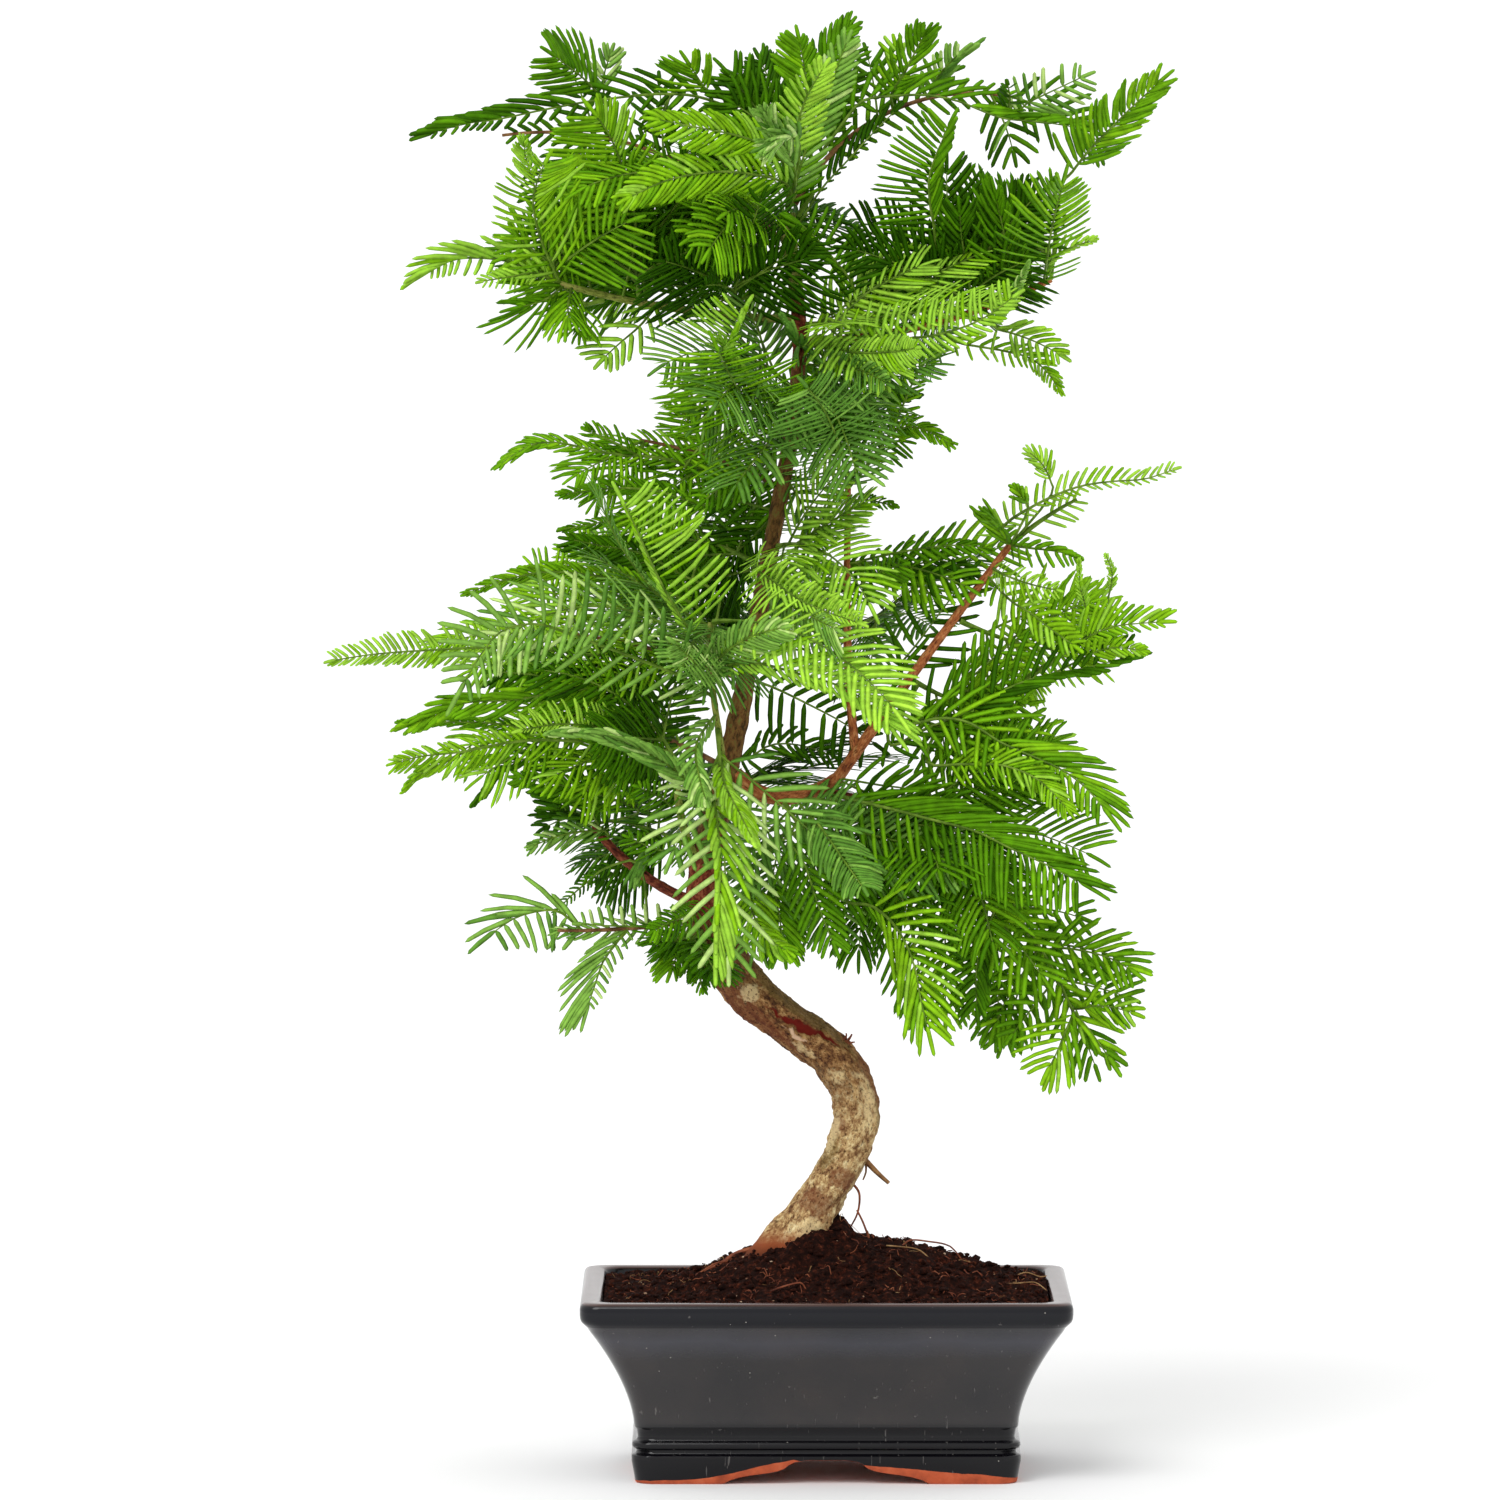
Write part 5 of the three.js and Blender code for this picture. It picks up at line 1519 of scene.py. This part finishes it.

# %% [markdown]
# A rule alone gives a tidy plant. The fronds that make this one itself are given one by one: the
# two arching shoots, the tall fans of the crown, the long hanging ones. Each row below is one
# frond. It names what the frond stands on, how far towards the back its tip reaches, length
# and angle of the needles on its left and on its right hand (0 for none), how the frond looks
# and its green. Then comes the way of its rib as the camera sees it. A ray from the camera
# through each place gives the point at the right depth, so the frond is a real curve in space
# and leaves its own limb.

# %% Fronds given one by one
PIXEL = 0.3695
ON_LIMB = 14
LIMB_SAMPLES = 60
OPENING = 6
CLOSING = 12
HAND_SET = read_table("""
# the arching shoot on the left and what stands on it
arch_left -6 18/50 58/30 sparse deep 765/132 712/101 665/94 600/100 548/109 500/119 470/123 434/132
arch_left -20 60/46 60/44 grown mid 600/100 585/80 570/68 556/57
arch_left 12 30/40 32/42 grown soft 603/98 604/75 610/55
arch_left -14 56/50 46/48 grown fresh 712/103 703/86 691/67
arch_left 6 44/50 34/50 grown deep 757/126 750/100 742/78
arch_left 10 28/60 30/60 grown mid 670/96 664/108 660/122
# the crown on the left
bough_upper_left -70 58/52 80/50 grown bright 558/293 541/240 533/205 537/182 544/165
bough_upper_left -40 26/35 22/35 young light 540/205 532/180 526/158 524/142
bough_upper_left -16 64/62 78/50 grown deep 647/303 642/265 638/232 632/205
bough_upper_left -44 76/62 52/48 grown bright 636/235 628/185 618/155 608/133 598/118
bough_upper_left 8 62/58 58/52 grown mid 590/298 585/262 578/225 570/196
bough_upper_left -12 62/80 48/45 grown mid 738/330 736/298 736/262 738/224
bough_upper_left 12 50/70 45/60 grown deep 690/316 690/285 694/250 700/222
bough_upper_left -24 18/72 66/17 open light 558/293 526/266 495/259 466/258 447/262 430/270
bough_upper_left -34 15/50 22/35 young light 560/290 536/273 510/277 484/281
bough_upper_left -30 66/36 48/30 grown mid 564/293 545/300 524/306
bough_upper_left -38 52/34 48/30 grown fresh 570/293 568/305 569/318
bough_upper_left -28 38/40 46/48 open light 655/312 640/326 620/343 606/356
bough_upper_left 20 34/50 30/50 open bright 640/309 620/300 596/298
# bright fronds in front of the fork
trunk -56 42/44 44/40 grown bright 786/168 762/145 735/135 700/128 660/120
trunk -62 40/46 44/44 grown bright 788/185 750/174 712/172 668/180 632/196
trunk -80 92/12 84/8 long soft 800/150 790/136 776/144
trunk -70 84/8 70/12 long soft 796/175 780/140 768/118
trunk -48 44/48 42/44 grown lime 788/165 796/130 806/98 822/70
trunk -36 40/34 40/38 grown soft 795/185 812/130 830/85 846/44
# the tip of the tree
trunk -8 42/44 40/44 grown mid 796/190 800/130 812/88 830/54 846/30
trunk -14 50/48 28/45 grown fresh 800/130 806/92 804/66 800/44
trunk 16 34/55 38/50 grown shade 792/150 780/110 770/82 760/60
trunk 20 34/50 34/50 grown deep 796/160 812/120 832/95 850/75
# the arching shoot on the right and what stands on it
arch_right -6 50/34 0/0 open mid 800/196 818/158 840/127 862/101 892/96 927/95 958/101 985/112 1007/119
    1042/122 1075/127
arch_right -18 50/44 54/30 grown mid 891/94 904/74 916/50 924/36
arch_right 8 36/44 30/40 grown bright 896/94 900/72 896/48
arch_right -4 30/45 58/16 grown soft 925/94 940/74 957/56
arch_right 8 34/70 40/55 grown soft 1012/118 1026/104 1050/92 1080/78
arch_right -12 28/34 34/40 open deep 1005/118 1010/100 1008/86
trunk 6 34/36 8/40 grown shade 800/222 822/188 848/160 872/134 894/112
# the crown on the right
bough_upper_right -44 104/30 50/50 grown fresh 1046/284 1047/258 1051/232 1057/205 1062/186
bough_upper_right -30 60/52 52/38 grown fresh 1060/192 1072/172 1092/147 1112/127 1132/107 1156/85
bough_upper_right -18 66/34 48/40 grown mid 1020/296 1010/262 1003/228 996/198
bough_upper_right -10 48/42 52/40 grown deep 975/315 968/275 962/240 960/215
bough_upper_right -30 60/72 42/26 grown mid 935/330 935/240 930/205 929/178 936/155 948/128
bough_upper_right 6 52/74 40/60 grown deep 905/328 905/290 912/262 926/242
bough_upper_right -20 60/18 46/82 open mid 870/330 852/284 836/262 818/240 801/225
bough_upper_right -14 24/38 14/34 young light 1050/287 1047/266 1060/252 1090/241
bough_upper_right -34 50/26 32/46 open light 994/327 1012/333 1034/341 1056/352
bough_upper_right -24 24/34 16/50 young bright 950/340 1000/350 1030/358 1048/373 1058/388
# the bright fronds below the crown
trunk -62 42/78 28/45 grown light 806/338 850/342 900/339 940/334 980/320 1012/298
trunk -72 28/50 30/50 grown light 806/352 850/352 890/352 915/348
bough_upper_right -58 20/26 20/26 grown soft 985/326 1005/304 1020/282 1028/264
trunk -70 92/72 76/84 grown fresh 770/428 750/411 740/392 728/372 719/352
trunk -76 80/72 50/22 grown light 760/395 724/358 728/342 742/314
trunk -40 54/8 46/18 long grey 806/352 800/346 792/334
bough_second_stem -72 70/76 62/64 grown grey 846/480 842/458 836/436 824/410 808/388
trunk -40 30/50 30/50 young mid 800/400 770/388 745/385 715/388
trunk -50 36/40 30/50 grown grey 806/372 835/368 860/370 885/382
# the left, from the top down
mid_left_high -34 24/32 26/36 young fresh 745/470 700/468 660/458 622/455 592/450 560/443 535/444
    515/454 502/463
mid_left_high -26 20/40 24/45 young mid 640/456 622/446 600/436 588/430
mid_left_high -40 20/32 24/34 young mid 710/505 662/492 622/488 590/491 564/494
mid_left_high -36 36/76 44/84 grown fresh 684/468 700/447 722/437 748/419 768/403
trunk -20 32/60 36/66 grown mid 785/470 756/468 730/480 706/499
trunk 10 34/55 34/60 grown deep 775/520 735/500 710/490 690/480
left_long -22 18/36 16/40 young mid 700/540 652/520 612/521 564/529
left_long -6 38/44 26/44 grown deep 720/600 682/575 640/553 602/546 574/540
left_long -30 20/36 24/42 young fresh 700/610 640/585 590/575 545/572 505/580 470/592
bough_front -84 18/24 76/78 grown light 692/632 668/596 650/560 637/530 624/504
bough_front -92 50/50 90/62 sparse soft 704/700 680/676 640/660 600/645 568/633 536/624 504/630
    484/650 466/680
bough_front -86 36/44 62/30 grown soft 705/690 694/662 676/644
left_long -48 24/44 30/64 young light 600/655 550/650 510/648 470/648 434/650 400/652 368/655 336/660
left_mid -46 44/32 52/26 grown fresh 600/690 560/692 512/700 470/702 440/712 414/722
left_mid -12 44/50 36/50 grown deep 640/710 590/690 540/676 500/672
left_mid -4 44/60 34/60 grown shade 660/690 620/668 575/660 530/664
bough_front -84 60/20 56/24 grown soft 716/815 700/792 668/765 630/745 592/734 562/733
left_mid -66 12/40 32/66 young lime 650/740 604/728 562/724 522/730
left_mid -54 32/50 24/45 young bright 600/740 540/740 500/744 462/752 424/756 398/762
left_mid -36 18/30 18/34 young mid 560/735 500/724 450/722 402/722
left_mid -50 22/34 24/36 young bright 470/750 446/762 424/772 408/786
left_mid -20 22/28 20/28 grown deep 590/752 545/756 508/764 490/784 476/800
left_low -14 98/12 30/40 open deep 604/828 582/815 564/811
left_low -26 30/44 24/44 grown mid 640/812 600/795 560/785 520/778
left_low -18 24/34 22/34 young soft 606/830 578/832 552/838 534/846
left_low -8 36/50 30/50 grown deep 612/838 596/822 590/800 596/780
left_lowest -16 0/0 24/86 open soft 690/918 650/926 612/926 582/924
left_lowest -10 38/100 66/14 open soft 582/924 560/912 540/911 515/918 494/932
left_lowest -20 17/62 66/24 grown soft 628/926 615/945 603/962 595/985 589/1003
left_lowest 10 10/60 12/60 young deep 640/864 606/868 590/880 570/897 556/912
bough_low_left -16 50/8 44/10 long grey 645/850 643/858 641/866
# the fork and the front of it
bough_green_shoot -30 26/50 26/50 young mid 684/860 660/850 630/838
bough_green_shoot -34 26/50 26/50 grown mid 682/820 664/800 640/788
trunk -24 26/44 40/42 grown fresh 705/905 690/925 680/948 672/968
trunk -30 20/40 20/40 young mid 712/920 704/950 700/970 702/988
trunk -40 34/50 26/50 grown mid 712/905 696/912 676/920 655/930
bough_front -94 78/26 36/14 sparse light 708/780 715/806 718/832 720/860 719/892 717/922 716/958
bough_front -88 38/26 32/26 grown light 712/750 724/782 738/810 752/838
bough_front -84 26/26 34/30 grown soft 709/715 696/745 700/780 706/800
# the middle
trunk -80 44/58 16/40 grown lime 752/566 772/580 800/600 830/613 856/622
trunk -74 20/50 60/58 grown soft 756/576 776/592 804/612 834/628
bough_front -88 76/38 24/36 grown light 706/672 735/664 762/664 800/674 840/686 868/703 889/726
bough_front -80 34/40 40/44 grown soft 706/668 728/650 752/636 780/628
trunk 4 32/62 50/74 open shade 742/672 775/688 810/705 842/722 872/742
trunk 20 30/50 30/50 grown deep 745/760 770/745 800/745 830/755
bough_second_stem -20 30/44 34/50 grown mid 846/600 860/585 880/572 900/565
bough_second_stem 4 20/32 22/36 grown mid 846/565 885/555 925/548 960/545 986/548
bough_second_stem 16 26/44 34/44 grown shade 848/560 870/580 905/568 940/560 970/572
bough_second_stem -12 24/46 22/46 young fresh 850/484 875/456 893/428 905/400 918/372 934/353
bough_second_stem -22 26/36 22/42 young fresh 880/448 893/432 912/427 930/432 948/443
bough_second_stem -16 16/34 14/34 young mid 846/500 868/500 895/506
trunk 16 34/22 38/24 open shade 815/420 850/408 880/398 905/394
trunk -10 24/50 22/50 young grey 790/480 800/500 812/520 818/545
# the long bough to the right
bough_right 6 50/70 56/52 open shade 897/670 916/645 942/610 966/578
bough_right -8 24/56 14/44 young light 998/535 1010/520 1035/505 1060/493 1085/485 1115/481 1145/479
    1172/470
bough_right -14 62/20 72/12 long fresh 1002/538 999/528 992/518
bough_right -16 34/20 26/20 open fresh 1028/510 1024/500 1018/490
bough_right -12 20/44 24/44 young light 1050/497 1050/480 1042/464 1030/453
bough_right -20 32/20 24/44 open fresh 1004/540 1030/548 1056/551 1074/556
bough_right -26 20/58 20/58 young light 985/560 1005/575 1030/584 1056/590
bough_right -34 38/46 30/46 open bright 985/575 1010/600 1032/614 1052/630 1072/644
right_mid -42 46/46 22/42 open bright 1046/668 1068/650 1090/636 1116/626 1158/622
right_mid -30 13/36 14/36 young light 1080/642 1086/612 1080/586 1079/562
right_mid -34 12/36 13/36 young light 1096/630 1108/598 1112/574 1106/556
right_mid -24 66/62 44/26 open deep 892/746 925/729 958/716 990/698 1020/683 1050/674 1085/668 1124/658
right_mid -36 28/46 24/40 open bright 1052/674 1080/660 1108/648 1140/650
right_inner -38 72/30 42/56 open fresh 900/724 940/718 970/723 1000/742 1034/757 1064/771 1086/788
    1102/806
right_inner -44 34/36 32/46 young bright 925/760 965/764 1000/765 1030/775 1050/790 1066/808
# the fans that hang on the right
right_fan -58 84/26 64/70 grown mid 832/795 880/806 930/819 975/831 1010/848 1045/864 1078/881
right_fan -34 60/40 60/60 open deep 860/800 900/808 940/820 975/845 1005/872
right_fan -20 40/50 50/60 open mid 840/780 880/785 915/790 945/800
hanging_right -20 54/48 38/38 sparse fresh 1004/872 1018/914 1041/948 1060/982 1073/1010 1089/1029
    1108/1056
hanging_right -30 54/38 44/52 open fresh 1041/950 1060/948 1085/951 1110/958 1128/968
hanging_right -26 40/40 40/44 open bright 1074/1009 1092/1006 1112/1007 1130/1012
hanging_right -12 54/34 42/62 sparse fresh 1041/948 1030/962 1016/985 1004/1004 997/1022
hanging_right -34 56/30 54/56 open bright 1073/1011 1066/1030 1058/1050 1050/1066
hanging_front -24 38/42 50/62 open deep 1000/890 997/905 988/926 980/950 976/976 977/1004
hanging_front -62 62/52 66/34 open bright 845/898 870/905 891/921 905/942 915/968 920/996 927/1026
hanging_front -86 48/52 42/50 grown grey 800/800 820/826 838/852 852/872 862/886
hanging_front -46 46/46 46/50 open mid 790/830 805/865 818/905 832/940
hanging_front -36 44/46 44/50 grown mid 770/850 775/890 780/920 784/950
hanging_front -30 44/50 44/50 open deep 860/850 885/880 905/905 930/925
trunk -60 40/40 40/40 grown bright 745/880 752/910 764/935 785/950
# dark fronds behind the middle
mid_left_high 30 46/50 46/50 grown shade 750/520 738/548 728/580 722/610
trunk 34 50/50 50/50 grown shade 770/560 742/572 712/580 684/590
trunk 26 44/50 44/50 grown deep 775/520 752/538 730/556 712/566
""")


class TracedLine(Line):
    """A smooth line through given points, with its flat side to the viewer."""

    def __init__(self, points, steps=5):
        self.places = []
        for index in range(len(points) - 1):
            before, first, last, after = (
                points[min(max(index + shift, 0), len(points) - 1)] for shift in (-1, 0, 1, 2)
            )
            leave, arrive = first + (last - before) / 6, last - (after - first) / 6
            curve = interpolate_bezier(first, leave, arrive, last, steps + 1)
            self.places += curve if index == 0 else curve[1:]
        self.steps = len(self.places) - 1
        self.length = sum((b - a).length for a, b in zip(self.places, self.places[1:]))

    def frame(self, share):
        place = min(max(share, 0), 1) * self.steps
        below = min(int(place), self.steps - 1)
        first, last = max(below - 1, 0), min(below + 2, self.steps)
        forward = (self.places[last] - self.places[first]).normalized()
        side = forward.cross(Vector((0, -1, 0))).normalized()
        return forward, side, side.cross(forward)

    def smooth_point(self, share):
        return self.point(min(max(share, 0), 1))


def traced_frond(carrier, reach, path):
    """The line of a hand-set frond, and the share of it that stays bare."""
    points = [carrier.point(number / LIMB_SAMPLES) for number in range(LIMB_SAMPLES + 1)]
    start = min(points, key=lambda point: (seen_at(point) - Vector(path[0])).length)
    off_limb = (seen_at(start) - Vector(path[0])).length > ON_LIMB
    rest = path if off_limb else path[1:]
    points = [start]
    for number, (u, v) in enumerate(rest, 1):
        depth = start.y + (reach - start.y) * (number / len(rest)) ** 0.8
        points.append(place_seen(u, v, depth))
    bare = (points[1] - points[0]).length if off_limb else 0
    line = TracedLine(points)
    return line, max(0.04, bare / line.length)


for index, (on, reach, left, right, look, green, *path) in enumerate(HAND_SET):
    draws = np.random.default_rng((7, index))
    line, bare = traced_frond(limbs.get(on) or stems[on], reach, path)
    add_tube("green", line, 0.75 if len(path) > 5 else 0.6, 0.24)
    rows = {}
    for hand, (length, angle) in ((-1, left), (1, right)):
        if length > 0:
            rows[hand] = Row(length * PIXEL, angle + OPENING, angle - CLOSING, draws.normal(4, 9))
    dress(line, rows, draws.normal(0, 8), look, green, draws, first=bare)
print(f"{len(HAND_SET)} fronds set by hand")

# %% Joining the needles
# shade and deep, the darkest greens, go to fronds inside and behind the crown: partly painted shade of
# the dense crown, partly the darker colour of older needles
GREENS = {
    "shade": (48, 92, 2), "deep": (66, 116, 4), "mid": (86, 140, 10), "fresh": (106, 162, 16),
    "bright": (130, 184, 22), "light": (150, 200, 60), "lime": (168, 218, 66),
    "grey": (94, 142, 50), "soft": (126, 172, 70), "pale": (184, 214, 124),
}
SAG = 0.07
PIECE_LIMIT = 190_000


def bent_needles(rows):
    rows = np.array(rows)
    foot, along, wide, face = (rows[:, None, start:start + 3] for start in (0, 3, 6, 9))
    length, width, droop, curve = (rows[:, None, column, None] for column in (12, 13, 14, 15))
    across, thick, share = (needle_points[None, :, column, None] for column in range(3))
    points = foot + along * (share * length)
    points += wide * (across * width / 2 + curve * length * share**2)
    points += face * (thick * NEEDLE_THICKNESS / 2 - droop * length * share**2)
    points[..., 2:] -= SAG * length * share**2
    return points


def shades(tone):
    return [(0.35, [value * 0.9 for value in tone]), (0.65, [min(255, value * 1.08) for value in tone])]


per_piece = PIECE_LIMIT // NEEDLE_TRIANGLES
for green in sorted(needles):
    rows = needles[green]
    nodes = [f"foliage_{spray.name}" for spray in SPRAYS if spray.green == green]
    stops = shades(GREENS[green])
    material = speckled(f"needle_{green}", 0.55, 0.05, (240, 2, 0.5), stops, 0.1, 0.3)
    parts = math.ceil(len(rows) / per_piece)
    for part in range(parts):
        mesh = joined_mesh(green, bent_needles(rows[part::parts]), needle_faces)
        name = f"needles_{green}" if parts == 1 else f"needles_{green}_{part + 1}"
        finished(name, mesh, [material], "needles", *(nodes if part == 0 else []))
print(f"{sum(map(len, needles.values())) * NEEDLE_TRIANGLES} triangles of needles")

# %% Ribs and stems
RIB_SIDES = 5


def tube_points(line, first_radius, last_radius, rings):
    """Rings of corners round a line, with a point at each end."""
    corners = [line.smooth_point(0)]
    for ring in range(rings + 1):
        share = ring / rings
        _, side, up = line.frame(share)
        radius = first_radius + (last_radius - first_radius) * share
        centre = line.smooth_point(share)
        for corner in range(RIB_SIDES):
            corners.append(centre + turned(side, up, 2 * math.pi * corner / RIB_SIDES) * radius)
    return corners + [line.smooth_point(1)]


def tube_faces(rings):
    faces = []
    for ring in range(rings):
        for corner in range(RIB_SIDES):
            a = 1 + ring * RIB_SIDES + corner
            b = 1 + ring * RIB_SIDES + (corner + 1) % RIB_SIDES
            faces.append((a, a + RIB_SIDES, b + RIB_SIDES, b))
    last = 1 + rings * RIB_SIDES
    for corner in range(RIB_SIDES):
        following = (corner + 1) % RIB_SIDES
        faces.append((0, 1 + corner, 1 + following))
        faces.append((last + following, last + corner, last + RIB_SIDES))
    return faces


def joined_tubes(name, rows):
    points, loops, sizes = [], [], []
    for *tube, rings in rows:
        start = len(points)
        points += tube_points(*tube, rings)
        for face in tube_faces(rings):
            loops.extend(start + corner for corner in face)
            sizes.append(len(face))
    return smoothed(mesh_from_arrays(name, points, loops, sizes), 60)


# %% [markdown]
# Fibres and old roots lie on the peat and stick out of it. A thicker root runs on from the
# trunk's foot, two thin ones hang from its side, and a dead stub, a bud and two short snags
# stand where shoots once were. They are the same tubes as the twigs. Each row gives its kind
# and its radius at both ends. What lies on the soil is given by its plan and its height above
# the soil, so it follows every clod. The rest is given as the camera sees it.

# %% Roots, fibres and stubs
FIBRES = 340
FIBRE_STEPS = 6
SOIL_ROOTS = read_table("""
root 1.4 0.45 -27/-1/-1 -33/-2/0 -39/-2/0.2 -45/-3/0 -50/-3/-1.2
root 0.4 0.25 -34/-5/0 -40/-6/1.6 -45/-6/1.2 -50/-7/-1
root 0.4 0.3 27/2/-1 31/1/2.4 38/0/3.4 46/-1/2.6 51/-2/-1
straw 0.3 0.25 20/-6/-0.5 27/-8/1.6 34/-9/0.8 38/-10/-0.6
root 0.45 0.3 -21/-40/-1 -18/-42/1.8 -13/-43/2.6 -9/-42/1.2 -7/-41/-1
straw 0.3 0.2 66/-20/-0.5 72/-22/2.6 77/-25/3.4 81/-29/1.8
straw 0.3 0.2 70/-8/-0.5 74/-10/3 79/-9/3.6 84/-7/3
""")
SNAGS = read_table("""
brown 1.3 0.75 858/1152 872/1167 880/1175 889/1183
brown 0.5 0.3 866/1162 866/1172 863/1180
root 0.6 0.3 848/1180 859/1192 858/1212 850/1228
root 0.4 0.45 857/1210 863/1222 869/1238
root 0.9 0.3 840/1045 848/1040 852/1034
root 0.7 0.25 842/1046 849/1043 855/1042
root 0.6 0.25 840/1042 846/1037 846/1033
root 0.5 0.25 797/1218 790/1212 788/1206
brown 1 0.7 796/290 788/283 783/279
brown 0.8 0.5 794/284 800/279 803/274
""")


def over_soil(x, y, lift):
    x, y = (min(max(value, -half), half) for value, half in zip((x, y), soil_half))
    return Vector((x, y, soil_height(x, y) + lift))


def fibre(draws):
    """A fibre that wanders over the soil, now above its crumbs and now under them."""
    x, y = anywhere(draws)
    heading, step = draws.uniform(0, 2 * math.pi), draws.uniform(0.4, 1.9)
    points = []
    for _ in range(FIBRE_STEPS):
        points.append(over_soil(x, y, draws.uniform(-0.5, 1.1)))
        heading += draws.normal(0, 0.5)
        x, y = x + step * math.cos(heading), y + step * math.sin(heading)
    return TracedLine(points, 2)


fibre_draws = np.random.default_rng(21)
for number in range(FIBRES):
    thick = fibre_draws.uniform(0.1, 0.26)
    add_tube("straw" if number % 7 == 0 else "root", fibre(fibre_draws), thick, thick * 0.6, 1.5)
for kind, first_radius, last_radius, *path in SOIL_ROOTS:
    add_tube(kind, TracedLine([over_soil(*place) for place in path]), first_radius, last_radius, 1)
for kind, first_radius, last_radius, *path in SNAGS:
    add_tube(kind, TracedLine([place_seen(u, v, 0) for u, v in path]), first_radius, last_radius, 1)

TWIG_SPOTS = (0.35, 0.5, 0.7)
TWIG_TONES = {
    "green": [(66, 92, 20), (92, 124, 30), (124, 152, 54)],
    "brown": [(70, 44, 22), (112, 76, 42), (156, 116, 72)],
    "root": [(74, 34, 22), (118, 60, 38), (156, 92, 60)],
    "straw": [(96, 66, 38), (142, 106, 66), (188, 154, 108)],
}
for kind, tones in TWIG_TONES.items():
    stops = list(zip(TWIG_SPOTS, tones))
    material = speckled(f"{kind}_twig", 0.65, 0.2, (180, 4, 0.6), stops, 0.3, 0.3)
    finished(f"{kind}_twigs", joined_tubes(f"{kind}_twigs", tubes[kind]), [material], "young_bark")

# %% [markdown]
# ## The last update
# At the end the view layer is brought up to date.

# %% The last update
bpy.context.view_layer.update()
